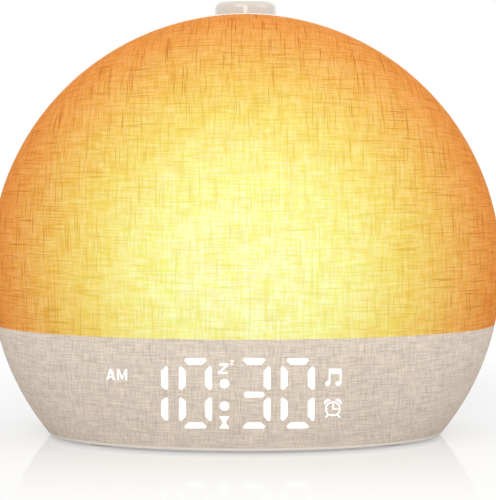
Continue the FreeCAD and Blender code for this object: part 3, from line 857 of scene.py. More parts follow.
@dataclass
class LinenCover:
    """The stretched linen front, glowing above the seam and plain below it."""

    form: Form
    rings: int = 72
    steps: int = 216
    wall: float = 0.6 * MM
    drape: float = 0.75
    table: int = 400
    cut_width: float = 0.230
    cut_height: float = 0.174
    rim_angle: float = 50.0

    def lengths(self) -> list[float]:
        """Measures the front's half ellipse from its nose.

        Returns:
            Lengths along the curve at equal steps of its angle.
        """
        form = self.form
        lengths = [0.0]
        for i in range(self.table):
            lean = math.pi / 2 * (i + 0.5) / self.table
            step = math.hypot(form.radius * math.cos(lean), form.bulge * math.sin(lean))
            lengths.append(lengths[-1] + step * math.pi / 2 / self.table)
        return lengths

    def run(self, lengths: list[float], along: float, aside: float) -> float:
        """Measures the cloth from the middle line of a cut.

        A cut beside the middle is half of a smaller ellipse of the same proportions, so one
        table of lengths serves every cut.

        Args:
            lengths: Lengths along the full half ellipse.
            along: Place in the cut, from its middle.
            aside: How far the cut lies from the dome's middle.

        Returns:
            A length between the straight one and the one along the curve.
        """
        form = self.form
        reach = max(math.sqrt(max(form.radius ** 2 - aside ** 2, 0.0)), HAIR)
        lean = math.asin(min(1.0, abs(along) / reach))
        place = lean / (math.pi / 2) * self.table
        low = min(self.table - 1, int(place))
        length = lengths[low] + (lengths[low + 1] - lengths[low]) * (place - low)
        full = math.copysign(length * reach / form.radius, along)
        return along + self.drape * (full - along)

    def add_uv(self, shape: Shape) -> None:
        """Lays the threads across and up the dome, each by its own length along the curve.

        Args:
            shape: The cover's mesh.
        """
        lengths = self.lengths()
        layer = shape.bm.loops.layers.uv.new("cloth")
        for face in shape.bm.faces:
            for loop in face.loops:
                x, _, z = loop.vert.co
                rise = z - self.form.centre_z
                loop[layer].uv = (self.run(lengths, x, rise), self.run(lengths, rise, x))

    def build(self, material: bpy.types.Material) -> bpy.types.Object:
        """Makes the cover.

        Args:
            material: The linen finish.

        Returns:
            The cover, which stands for the CAD cover.
        """
        shape = Shape("linen_front")
        shape.lathe(self.form.half_ellipse(self.rings), self.form.middle(), BACKWARDS,
                    self.steps)
        shape.cut_off(Vector((0, 0, self.form.cover_z)), -UP)
        shape.close_up()
        nose = min(shape.bm.faces, key=lambda face: face.calc_center_median().y)
        if nose.normal.dot(BACKWARDS) > 0:
            bmesh.ops.reverse_faces(shape.bm, faces=shape.bm.faces)
        self.add_uv(shape)
        area = sum(face.calc_area() for face in shape.bm.faces)
        bmesh.ops.solidify(shape.bm, geom=shape.bm.faces, thickness=self.wall)
        cover = shape.finish(material, "housing", "linen", ("linen_cover",),
                             self.rim_angle)
        return cover


@dataclass
class Display:
    """Signs that glow on the linen: two pairs of digits, a colon and small signs.

    Places and sizes are in millimetres across the face and above the feet.
    """

    form: Form
    rows: tuple[float, float, float] = (33.47, 21.02, 9.1)
    bar: float = 2.22
    middle_bar: float = 2.0
    upright: float = 2.33
    grain: float = 1.4
    droop: float = 0.00048
    widen: float = 0.0004

    def bars(self) -> dict[str, list[Point]]:
        """Draws the three level segments about a digit's middle.

        Returns:
            Their outlines by letter, in millimetres.
        """
        top, middle, bottom = self.rows
        long, tip, short, drop = 3.27, 3.74, 2.35, 0.75
        half = self.middle_bar / 2
        return {
            "a": [(-long, top), (long, top), (tip, top - drop), (short, top - self.bar),
                  (-short, top - self.bar), (-tip, top - drop)],
            "d": [(-long, bottom), (long, bottom), (tip, bottom + drop),
                  (short, bottom + self.bar), (-short, bottom + self.bar), (-tip, bottom + drop)],
            "g": [(-3.51, middle), (-2.86, middle + half), (2.86, middle + half), (3.51, middle),
                  (2.86, middle - half), (-2.86, middle - half)],
        }

    def digit(self, x: float, half_width: float, lit: str) -> list[list[Point]]:
        """Outlines of the lit segments of one digit.

        Args:
            x: Middle of the digit.
            half_width: Half its width.
            lit: Letters of its lit segments: top, high right, low right, bottom, low left,
                high left and middle are a to g.

        Returns:
            One outline for each segment.
        """
        top, middle, bottom = self.rows
        inner = half_width - self.upright
        tip = inner + 0.7 * self.upright
        shapes = self.bars()
        high, low = (top - 2.67, middle + 1.58), (middle - 0.97, bottom + 2.65)
        for name, (start, stop), way in (("b", high, 1), ("c", low, 1), ("e", low, -1),
                                         ("f", high, -1)):
            near, far = (0.65, 0.55) if name in "bf" else (0.55, 0.65)
            slope_near, slope_far = (1.78, 1.37) if name in "bf" else (1.37, 1.78)
            shapes[name] = [(way * (tip - 0.25), start - 0.1), (way * (tip + 0.2), start - 0.05),
                            (way * half_width, start - near), (way * half_width, stop + far),
                            (way * (tip + 0.2), stop + 0.05), (way * (tip - 0.25), stop + 0.1),
                            (way * inner, stop + slope_far), (way * inner, start - slope_near)]
        return [[(x + u, z) for u, z in shapes[name]] for name in lit]

    @staticmethod
    def disc(x: float, z: float, radius: float, sides: int = 24) -> list[Point]:
        """Outline of a round dot."""
        turns = [math.tau * i / sides for i in range(sides)]
        return [(x + radius * math.cos(t), z + radius * math.sin(t)) for t in turns]

    @staticmethod
    def line(start: Point, end: Point, width: float) -> list[Point]:
        """Draws a straight stroke.

        Args:
            start: One end.
            end: The other end.
            width: How wide it is.

        Returns:
            Its outline.
        """
        run = Vector((end[0] - start[0], end[1] - start[1])).normalized() * width / 2
        side = (-run.y, run.x)
        return [(start[0] + side[0], start[1] + side[1]), (end[0] + side[0], end[1] + side[1]),
                (end[0] - side[0], end[1] - side[1]), (start[0] - side[0], start[1] - side[1])]

    def ring(self, x: float, z: float, radius: float, width: float,
             sides: int = 28) -> list[list[Point]]:
        """Draws a ring of short strokes.

        Args:
            x: Its middle across the face.
            z: Its middle above the feet.
            radius: Its outer radius.
            width: How wide the stroke is.
            sides: How many strokes it has.

        Returns:
            One outline for each stroke.
        """
        outlines = []
        for i in range(sides):
            first, second = math.tau * i / sides, math.tau * (i + 1) / sides
            outlines.append([(x + r * math.cos(t), z + r * math.sin(t))
                             for r, t in ((radius, first), (radius, second),
                                          (radius - width, second), (radius - width, first))])
        return outlines

    def letters(self) -> list[list[Point]]:
        """Draws the half-day sign in plain strokes.

        Returns:
            Its outlines, in millimetres.
        """
        low, high = 25.95, 29.78
        left, right = -46.43, -43.35
        middle = (left + right) / 2
        m_left, m_right = -42.72, -39.26
        m_middle = (m_left + m_right) / 2
        stroke = 0.68
        return [
            [(left, low), (middle - 0.42, high), (middle, high), (middle, high - 1.0),
             (left + 0.74, low)],
            [(right, low), (right - 0.74, low), (middle, high - 1.0), (middle, high),
             (middle + 0.42, high)],
            [(left + 0.8, low + 0.8), (left + 0.8, low + 1.35), (right - 0.8, low + 1.35),
             (right - 0.8, low + 0.8)],
            [(m_left, low), (m_left, high), (m_left + stroke, high), (m_left + stroke, low)],
            [(m_right - stroke, low), (m_right - stroke, high), (m_right, high), (m_right, low)],
            [(m_left + stroke, high), (m_middle + 0.33, low + 0.35),
             (m_middle - 0.33, low + 0.35), (m_left + stroke - 0.25, high)],
            [(m_right - stroke, high), (m_right - stroke + 0.25, high),
             (m_middle + 0.33, low + 0.35), (m_middle - 0.33, low + 0.35)],
        ]

    def sleep_sign(self) -> list[list[Point]]:
        """Draws a large and a small slanted letter for sleep.

        Returns:
            Its outlines, in millimetres.
        """
        outlines = []
        for x0, x1, low, high, stroke in ((-8.97, -5.47, 28.07, 31.71, 0.74),
                                          (-5.17, -3.69, 31.22, 32.71, 0.3)):
            slant = 0.12 * (high - low)
            outlines += [
                [(x0 + slant, high), (x1, high), (x1 - 0.1, high - stroke),
                 (x0 + slant - 0.1, high - stroke)],
                [(x0, low), (x1 - slant, low), (x1 - slant + 0.1, low + stroke),
                 (x0 + 0.1, low + stroke)],
                [(x1 - stroke * 1.5, high - stroke), (x1 - 0.1, high - stroke),
                 (x0 + stroke * 1.5, low + stroke), (x0 + 0.1, low + stroke)],
            ]
        return outlines

    def hourglass(self) -> list[list[Point]]:
        """Draws a solid hourglass with a broad waist.

        Returns:
            Its outlines, in millimetres.
        """
        x, low, high = -6.93, 9.07, 13.5
        half = [(1.58, high), (1.55, high - 0.6), (1.2, high - 0.85), (1.05, high - 1.3),
                (0.6, high - 1.9), (0.6, low + 1.9), (1.05, low + 1.3), (1.2, low + 0.85),
                (1.55, low + 0.6), (1.58, low)]
        return [[(x + u, z) for u, z in half] + [(x - u, z) for u, z in reversed(half)]]

    def note(self) -> list[list[Point]]:
        """Draws two notes joined by a straight beam.

        Returns:
            Its outlines, in millimetres.
        """
        left, right, top = 27.6, 31.9, 29.93
        return [
            [(left, top), (right, top), (right, top - 1.8), (left, top - 1.8)],
            self.line((left + 0.31, top - 1.8), (left + 0.31, 24.8), 0.62),
            self.line((right - 0.31, top - 1.8), (right - 0.31, 24.8), 0.62),
            self.disc(left - 0.32, 24.75, 0.84, 20),
            self.disc(right - 1.12, 24.75, 0.84, 20),
        ]

    def bell(self, x: float, z: float, way: int) -> list[Point]:
        """Draws one bell of the alarm sign, a cap above the ring.

        Args:
            x: Middle of the ring across the face.
            z: Middle of the ring above the feet.
            way: -1 for the left bell and 1 for the right one.

        Returns:
            Its outline.
        """
        inner, gap, rise, fullness, count = 3.05, 0.1, 0.85, 0.6, 8
        start, sweep = 102, 50
        points = []
        for i in [*range(count + 1), *range(count, -1, -1)]:
            turn = math.radians(start + sweep * i / count)
            reach = inner
            if len(points) > count:
                reach += gap + rise * math.sin(math.pi * i / count) ** fullness
            points.append((x - way * reach * math.cos(turn), z + reach * math.sin(turn)))
        return points

    def alarm(self) -> list[list[Point]]:
        """Draws a clock with two bells, hands and feet.

        Returns:
            Its outlines, in millimetres.
        """
        x, z = 29.05, 15.97
        outlines = self.ring(x, z, 2.62, 0.5)
        for way in (-1, 1):
            outlines.append(self.bell(x, z, way))
            outlines.append(self.line((x + way * 1.6, z - 2.15), (x + way * 2.45, z - 3.1), 0.6))
        outlines.append(self.line((x + 0.05, z - 0.27), (x + 0.05, z + 1.95), 0.55))
        outlines.append(self.line((x + 0.33, z), (x + 1.4, z), 0.55))
        for turn in (0.25, 0.5, 0.75):
            side, lift = math.sin(math.tau * turn), math.cos(math.tau * turn)
            outlines.append(self.line((x + 1.6 * side, z + 1.6 * lift),
                                      (x + 2.15 * side, z + 2.15 * lift), 0.4))
        return outlines

    def outlines(self) -> dict[str, list[list[Point]]]:
        """Gathers every sign.

        Returns:
            Each sign's outlines by its name.
        """
        return {
            "display_digits": (self.digit(-31.0, 5.45, "bc") + self.digit(-16.45, 5.5, "abcdef")
                               + self.digit(2.93, 5.46, "abcdg")
                               + self.digit(17.34, 5.65, "abcdef")),
            "display_colon": [self.disc(-6.85, 24.78, 1.62, 32), self.disc(-6.87, 17.06, 1.6, 32)],
            "display_half_day": self.letters(),
            "display_sleep": self.sleep_sign(),
            "display_timer": self.hourglass(),
            "display_note": self.note(),
            "display_alarm": self.alarm(),
        }

    def build(self, material: bpy.types.Material) -> list[bpy.types.Object]:
        """Makes one thin curved piece for each sign, on the cloth's outer face.

        Args:
            material: The signs' finish.

        Returns:
            The pieces.
        """
        pieces = []
        for name, outlines in self.outlines().items():
            shape = Shape(name)
            for outline in outlines:
                places = [self.laid(u, z) for u, z in outline]
                shape.bm.faces.new([shape.bm.verts.new((u * MM, 0, z * MM)) for u, z in places])
            self.divide(shape)
            bmesh.ops.recalc_face_normals(shape.bm, faces=shape.bm.faces)
            for face in shape.bm.faces:
                if face.normal.y > 0:
                    face.normal_flip()
            top = list(shape.bm.faces)
            pushed = bmesh.ops.extrude_face_region(shape.bm, geom=top)["geom"]
            front = {item for item in pushed if isinstance(item, bmesh.types.BMVert)}
            for vert in shape.bm.verts:
                layer = Layer.SIGNS if vert in front else Layer.BEHIND
                vert.co = self.form.on_dome(vert.co.x, vert.co.z, layer.value)
            bmesh.ops.delete(shape.bm, geom=top, context="FACES")
            bmesh.ops.recalc_face_normals(shape.bm, faces=shape.bm.faces)
            pieces.append(shape.finish(material, "housing", "clear_lens"))
        return pieces

    def laid(self, u: float, level: float) -> Point:
        """Where a mark of the flat display behind the cloth shows on the curved cloth."""
        x = u * (1 + self.widen * (self.rows[1] - level))
        return (x, level - self.droop * u * u)

    def divide(self, shape: Shape) -> None:
        """Cuts flat signs into small faces, so that they can follow the dome.

        Args:
            shape: The flat signs.
        """
        step = self.grain * MM
        xs = [vert.co.x for vert in shape.bm.verts]
        zs = [vert.co.z for vert in shape.bm.verts]
        for axis, low, high in ((0, min(xs), max(xs)), (2, min(zs), max(zs))):
            for i in range(math.floor(low / step) + 1, math.ceil(high / step)):
                point, outwards = Vector(), Vector()
                point[axis], outwards[axis] = i * step, 1.0
                geom = shape.bm.verts[:] + shape.bm.edges[:] + shape.bm.faces[:]
                bmesh.ops.bisect_plane(shape.bm, geom=geom, plane_co=point,
                                       plane_no=outwards)


def rounded_outline(half_x: float, half_z: float, corner: float, steps: int) -> list[Point]:
    """Draws a rectangle with round corners about the origin.

    Args:
        half_x: Half its width.
        half_z: Half its height.
        corner: Radius of its corners.
        steps: Steps in each corner.

    Returns:
        Its outline.
    """
    corner = min(corner, half_x - HAIR, half_z - HAIR)
    points = []
    for quarter in range(4):
        way_x, way_z = ((1, 1), (-1, 1), (-1, -1), (1, -1))[quarter]
        for i in range(steps + 1):
            turn = math.pi / 2 * (quarter + i / steps)
            points.append((way_x * (half_x - corner) + corner * math.cos(turn),
                           way_z * (half_z - corner) + corner * math.sin(turn)))
    return points


@dataclass
class RearHousing:
    """Smooth drum behind the front, with its recess, grille, key and jack openings."""

    form: Form
    corner: float = 14.0 * MM
    corner_steps: int = 14
    inner_steps: int = 6
    wall: float = 2.2 * MM
    draft: float = 1.5
    recess_radius: float = 68.0 * MM
    recess_depth: float = 1.6 * MM
    edge: float = 0.4 * MM
    lip_edge: float = 0.5 * MM
    steps: int = 216
    cut_depth: float = 8.0 * MM
    clear: float = 2.0 * MM
    seat_radius: float = 11.6 * MM
    seat_drop: float = 0.9 * MM
    seat_height: float = 20.0 * MM
    slots: int = 7
    slot_pitch: float = 4.4 * MM
    slot_width: float = 1.8 * MM
    slot_length: float = 30.0 * MM
    key_gap: float = 0.35 * MM
    key_corner: float = 1.5 * MM
    key_flange: float = 1.0 * MM
    jack_gap: float = 0.3 * MM
    jack_depth: float = 9.0 * MM
    well_radius: float = 3.0 * MM
    well_wall: float = 1.6 * MM
    well_depth: float = 20.0 * MM
    well_floor: float = 1.5 * MM
    well_bite: float = 0.2 * MM
    sharp: float = 28.0

    def corner_arc(self, inset: float, count: int) -> list[Vector]:
        """Rounds the rear corner.

        Args:
            inset: How far the arc is drawn in from the outer face.
            count: Its number of steps.

        Returns:
            Points from the side to the back, at the height of the front's middle.
        """
        draft = math.radians(self.draft)
        radius = self.corner - inset
        pivot_y = self.form.back_y - self.corner
        end_y = pivot_y + self.corner * math.sin(draft)
        pivot_x = (self.form.rim_radius - (end_y - self.form.rim_y) * math.tan(draft)
                   - self.corner * math.cos(draft))
        turns = [draft + (math.pi / 2 - draft) * i / count for i in range(count + 1)]
        return [Vector((pivot_x + radius * math.cos(t), pivot_y + radius * math.sin(t),
                        self.form.centre_z)) for t in turns]

    def profile(self) -> list[Vector]:
        """Draws the wall.

        Returns:
            Points on the outside from the back's middle to the rim, then on the inside back
            to the middle.
        """
        form, wide, edge, lip = self.form, self.recess_radius, self.edge, self.lip_edge
        recess_y = form.back_y - self.recess_depth
        inner_y = recess_y - self.wall
        bend = math.sqrt(0.5)
        recess = [(0, recess_y), (wide - edge, recess_y),
                  (wide - edge + edge * bend, recess_y + edge * (1 - bend)),
                  (wide, recess_y + edge), (wide, form.back_y - edge),
                  (wide + edge * (1 - bend), form.back_y - edge * (1 - bend)),
                  (wide + edge, form.back_y)]
        rim = [(form.rim_radius, form.rim_y + lip),
               (form.rim_radius - lip * (1 - bend), form.rim_y + lip * (1 - bend)),
               (form.rim_radius - lip, form.rim_y), (form.rim_radius - self.wall, form.rim_y)]
        outer = reversed(self.corner_arc(0.0, self.corner_steps))
        inner = [(p.x, min(p.y, inner_y)) for p in self.corner_arc(self.wall, self.inner_steps)]
        line = recess + [(p.x, p.y) for p in outer] + rim + inner + [(0, inner_y)]
        return [Vector((x, y, form.centre_z)) for x, y in line]

    def screw_places(self) -> list[Point]:
        """Finds the case screws from their mesh, one in each quarter of the back.

        Returns:
            The middle of each, across and up.
        """
        spots = {}
        for vert in frame["nodes"]["case_screws"].data.vertices:
            key = (vert.co.x > 0, vert.co.z > self.form.centre_z)
            spots.setdefault(key, []).append((vert.co.x, vert.co.z))
        return [((min(x for x, _ in points) + max(x for x, _ in points)) / 2,
                 (min(z for _, z in points) + max(z for _, z in points)) / 2)
                for points in spots.values()]

    def rods(self, shape: Shape, radius: float, start: float, stop: float) -> None:
        """Adds a round bar on the line of each case screw.

        Args:
            shape: What the bars are added to.
            radius: The bars' radius.
            start: Depth of their front end.
            stop: Depth of their rear end.
        """
        upright = Matrix.Rotation(math.pi / 2, 4, "X")
        for x, z in self.screw_places():
            place = Matrix.Translation((x, (start + stop) / 2, z)) @ upright
            bmesh.ops.create_cone(shape.bm, cap_ends=True, segments=40, radius1=radius,
                                  radius2=radius, depth=stop - start, matrix=place)

    def cutter(self) -> Shape:
        """Gathers everything that is cut out of the drum.

        Returns:
            The grille, the key and jack openings, the screw wells and the knob's seat.
        """
        tool = Shape("housing_cutter")
        back = self.form.back_y
        front = back + self.clear
        self.grille(tool)
        for name in KEYS:
            low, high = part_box(f"{name}_button")
            grow = self.key_gap - self.key_flange
            self.rounded(tool, (low.x + high.x) / 2, (low.z + high.z) / 2,
                         (high.x - low.x) / 2 + grow, (high.z - low.z) / 2 + grow,
                         self.key_corner + self.key_gap)
        self.rods(tool, self.well_radius, back - self.recess_depth - self.well_depth, front)
        low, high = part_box("power_jack")
        tool.cube(Vector((low.x - self.jack_gap, back - self.jack_depth, low.z - self.jack_gap)),
                  Vector((high.x + self.jack_gap, front, high.z + self.jack_gap)))
        low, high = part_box("dial_knob")
        seat = Vector(((low.x + high.x) / 2, (low.y + high.y) / 2, low.z - self.seat_drop))
        bmesh.ops.create_cone(tool.bm, cap_ends=True, segments=72, radius1=self.seat_radius,
                              radius2=self.seat_radius, depth=self.seat_height,
                              matrix=Matrix.Translation(seat + UP * (self.seat_height / 2)))
        bmesh.ops.recalc_face_normals(tool.bm, faces=tool.bm.faces)
        return tool

    def grille(self, tool: Shape) -> None:
        """Adds the slots in front of the speaker.

        Args:
            tool: The cutter that they are added to.
        """
        low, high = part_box("speaker_gasket")
        middle = (low.z + high.z) / 2
        for row in range(self.slots):
            z = middle + (row - (self.slots - 1) / 2) * self.slot_pitch
            self.rounded(tool, 0.0, z, self.slot_length / 2, self.slot_width / 2,
                         self.slot_width / 2)

    def rounded(self, tool: Shape, x: float, z: float, half_x: float, half_z: float,
                corner: float) -> None:
        """Adds a plate with round corners to the cutter.

        Args:
            tool: The cutter.
            x: Middle of the plate across the back.
            z: Middle of the plate above the feet.
            half_x: Half its width.
            half_z: Half its height.
            corner: Radius of its corners.
        """
        outline = rounded_outline(half_x, half_z, corner, 6)
        tool.plate(outline, Vector((0, -self.cut_depth, 0)),
                   Vector((x, self.form.back_y + self.clear, z)), Vector((1, 0, 0)), UP)

    def build(self, material: bpy.types.Material) -> bpy.types.Object:
        """Makes the housing.

        Args:
            material: Its finish.

        Returns:
            The housing, which stands for the CAD rear shell.
        """
        shape = Shape("rear_housing")
        shape.lathe(self.profile(), self.form.middle(), BACKWARDS, self.steps)
        shape.cut_off(Vector((0, 0, self.form.cover_z)), -UP, fill=True)
        shape.close_up()
        inner = self.form.back_y - self.recess_depth - self.wall + self.well_bite
        self.rods(shape, self.well_radius + self.well_wall,
                  inner - self.well_depth - self.well_floor, inner)
        housing = shape.finish(material, "housing", "white_housing", ("rear_shell",))
        carve(housing, self.cutter())
        resmooth(housing, self.sharp)
        return housing


@dataclass
class BaseRim:
    """The thin cream base that shows as a rim under the cloth."""

    form: Form
    housing: RearHousing
    steps: int = 216
    rings: int = 40
    foot_edge: float = 0.25 * MM

    def build(self, material: bpy.types.Material) -> bpy.types.Object:
        """Makes the base.

        Args:
            material: Its finish.

        Returns:
            The base, which stands for the CAD base plate.
        """
        form = self.form
        shape = Shape("base_rim")
        profile = form.half_ellipse(self.rings)
        profile.append(Vector((form.rim_radius, form.split_y, form.centre_z)))
        profile += self.housing.corner_arc(0.0, self.housing.corner_steps)
        profile.append(Vector((0, form.back_y, form.centre_z)))
        shape.lathe(profile, form.middle(), BACKWARDS, self.steps)
        shape.cut_off(Vector((0, 0, form.cover_z)), UP, fill=True)
        shape.cut_off(Vector((0, 0, form.base_z)), -UP, fill=True)
        shape.close_up()
        low = [edge for edge in shape.bm.edges
               if all(abs(vert.co.z - form.base_z) < HAIR for vert in edge.verts)]
        shape.bevel(low, self.foot_edge, 2)
        return shape.finish(material, "housing", "cream_base", ("base_plate",))


@dataclass
class DialKnob:
    """Turned knob on top, hollow underneath round a hub."""

    edge: float = 2.6 * MM
    edge_steps: int = 10
    crown: float = 0.25 * MM
    crown_shares: tuple[float, ...] = (0.75, 0.5, 0.25, 0.0)
    foot_edge: float = 0.3 * MM
    wall: float = 1.8 * MM
    roof: float = 2.2 * MM
    bore: float = 3.05 * MM
    hub: float = 4.5 * MM
    hub_roof: float = 1.2 * MM
    travel: float = 0.6 * MM
    hub_gap: float = 0.3 * MM
    steps: int = 128

    def build(self, material: bpy.types.Material) -> bpy.types.Object:
        """Makes the knob.

        Args:
            material: Its finish.

        Returns:
            The knob, which stands for the CAD knob and turns and presses as it does.
        """
        low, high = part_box("dial_knob")
        shaft_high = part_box("encoder_shaft")[1].z
        hub_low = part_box("encoder_nut")[1].z + self.travel + self.hub_gap
        radius = (high.x - low.x) / 2
        middle = Vector(((low.x + high.x) / 2, (low.y + high.y) / 2, 0))
        under = high.z - self.roof - self.hub_roof
        edge = self.edge
        line = [(0, shaft_high), (self.bore, shaft_high), (self.bore, hub_low),
                (self.hub, hub_low), (self.hub, under), (radius - self.wall, under),
                (radius - self.wall, low.z), (radius - self.foot_edge, low.z),
                (radius, low.z + self.foot_edge)]
        for i in range(self.edge_steps + 1):
            turn = math.pi / 2 * i / self.edge_steps
            line.append((radius - edge + edge * math.cos(turn),
                         high.z - self.crown - edge + edge * math.sin(turn)))
        line += [((radius - edge) * share, high.z - self.crown * share ** 2)
                 for share in self.crown_shares]
        shape = Shape("turning_knob")
        profile = [Vector((middle.x + r, middle.y, z)) for r, z in line]
        shape.lathe(profile, middle, UP, self.steps)
        return shape.finish(material, "dial", "pearl_knob", ("dial_knob",))


@dataclass
class RearKeys:
    """Five press keys on the back, each with a plain raised mark."""

    edge: float = 0.5 * MM
    height: float = 3.6 * MM
    corner: float = 1.5 * MM
    flange: float = 1.0 * MM
    flange_height: float = 1.2 * MM
    seam: float = 0.005 * MM
    stem: float = 2.0 * MM
    mark_rise: float = 0.12 * MM
    mark_size: float = 1.3
    line_half: float = 1.2
    stroke: float = 0.34
    thin_stroke: float = 0.3
    thick_stroke: float = 0.4

    def marks(self, name: str) -> list[list[Point]]:
        """Draws a key's mark.

        Args:
            name: The key.

        Returns:
            Strokes in millimetres about the key's middle.
        """
        line, end, stroke = Display.line, self.line_half, self.stroke

        def alarm(*bars: float) -> list[list[Point]]:
            """Draws a small bell with upright bars at its right.

            Args:
                bars: Places of the bars, across the key.

            Returns:
                Its strokes.
            """
            bell = (((-2.2, -0.5), (-1.9, 0.9)), ((-1.9, 0.9), (-0.7, 0.9)),
                    ((-0.7, 0.9), (-0.4, -0.5)), ((-2.5, -0.6), (-0.1, -0.6)))
            return ([line(start, stop, self.thin_stroke) for start, stop in bell]
                    + [line((x, -0.8), (x, 1.1), stroke) for x in bars])

        level = line((-end, 0), (end, 0), self.thick_stroke)
        return {
            "alarm_one": alarm(1.6),
            "alarm_two": alarm(1.3, 2.1),
            "set": [line((-end, v), (end, v), stroke) for v in (0.8, 0.0, -0.8)],
            "minus": [level],
            "plus": [level] + [line((0, way * 0.21), (0, way * end), self.thick_stroke)
                               for way in (1, -1)],
        }[name]

    def cap(self, name: str, material: bpy.types.Material) -> None:
        """Makes one key with its flange and stem; it stands for the CAD key.

        Args:
            name: The key.
            material: Its finish.
        """
        low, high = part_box(f"{name}_button")
        middle = Vector(((low.x + high.x) / 2, 0, (low.z + high.z) / 2))
        shape = Shape(f"{name}_cap")
        outline = rounded_outline((high.x - low.x) / 2 - self.flange,
                                  (high.z - low.z) / 2 - self.flange, self.corner, 5)
        wall_y = high.y - self.height
        shape.plate(outline, Vector((0, high.y - wall_y, 0)), middle + Vector((0, wall_y, 0)),
                    LEFT, UP)
        bmesh.ops.recalc_face_normals(shape.bm, faces=shape.bm.faces)
        rim = [edge for edge in shape.bm.edges
               if all(abs(vert.co.y - high.y) < HAIR / 10 for vert in edge.verts)]
        shape.bevel(rim, self.edge, 3)
        flange_y = wall_y - self.flange_height
        shape.cube(Vector((low.x, flange_y, low.z)), Vector((high.x, wall_y - self.seam, high.z)))
        shape.cube(Vector((middle.x - self.stem, low.y, middle.z - self.stem)),
                   Vector((middle.x + self.stem, flange_y - self.seam, middle.z + self.stem)))
        shape.finish(material, f"{name}_key", "grey_button", (f"{name}_button",))

    def sign(self, name: str, material: bpy.types.Material) -> None:
        """Makes the raised mark of one key.

        Args:
            name: The key.
            material: The mark's finish.
        """
        low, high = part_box(f"{name}_button")
        base = Vector(((low.x + high.x) / 2, high.y - self.mark_rise / 2,
                       (low.z + high.z) / 2))
        big = self.mark_size * MM
        signs = Shape(f"{name}_mark")
        for stroke in self.marks(name):
            signs.plate([(u * big, v * big) for u, v in stroke], Vector((0, self.mark_rise, 0)),
                        base, LEFT, UP)
        bmesh.ops.recalc_face_normals(signs.bm, faces=signs.bm.faces)
        signs.finish(material, f"{name}_key", "white_housing")

    def build(self, key: bpy.types.Material, mark: bpy.types.Material) -> None:
        """Makes the keys and their marks; each moves with its own body.

        Args:
            key: The keys' finish.
            mark: The marks' finish.
        """
        for name in KEYS:
            self.cap(name, key)
            self.sign(name, mark)


@dataclass
class Innards:
    """Finishes of the CAD pieces that keep their shape."""

    nodes: dict[str, bpy.types.Object]
    slots: dict[str, str]

    def dress(self, finishes: dict[str, bpy.types.Material]) -> None:
        """Gives every CAD piece the finish of its material slot.

        Args:
            finishes: Finishes by slot.
        """
        for name, node in self.nodes.items():
            finish = finishes[self.slots[name]]
            node.data.materials.clear()
            node.data.materials.append(finish)
            LOG.info("%s: finished as %s", name, finish.name)


@dataclass(frozen=True)
class Lamp:
    """A soft lamp: its place, its width and height in metres, and its power in watts."""

    name: str
    place: Triple
    size: tuple[float, float]
    power: float

    def build(self, target: Vector) -> None:
        """Hangs the lamp.

        Args:
            target: The point that it faces.
        """
        data = bpy.data.lights.new(self.name, "AREA")
        data.shape = "RECTANGLE"
        data.size, data.size_y = self.size
        data.energy = self.power
        lamp = bpy.data.objects.new(self.name, data)
        lamp.location = self.place
        lamp.rotation_euler = (target - Vector(self.place)).to_track_quat("-Z", "Y").to_euler()
        bpy.context.scene.collection.objects.link(lamp)


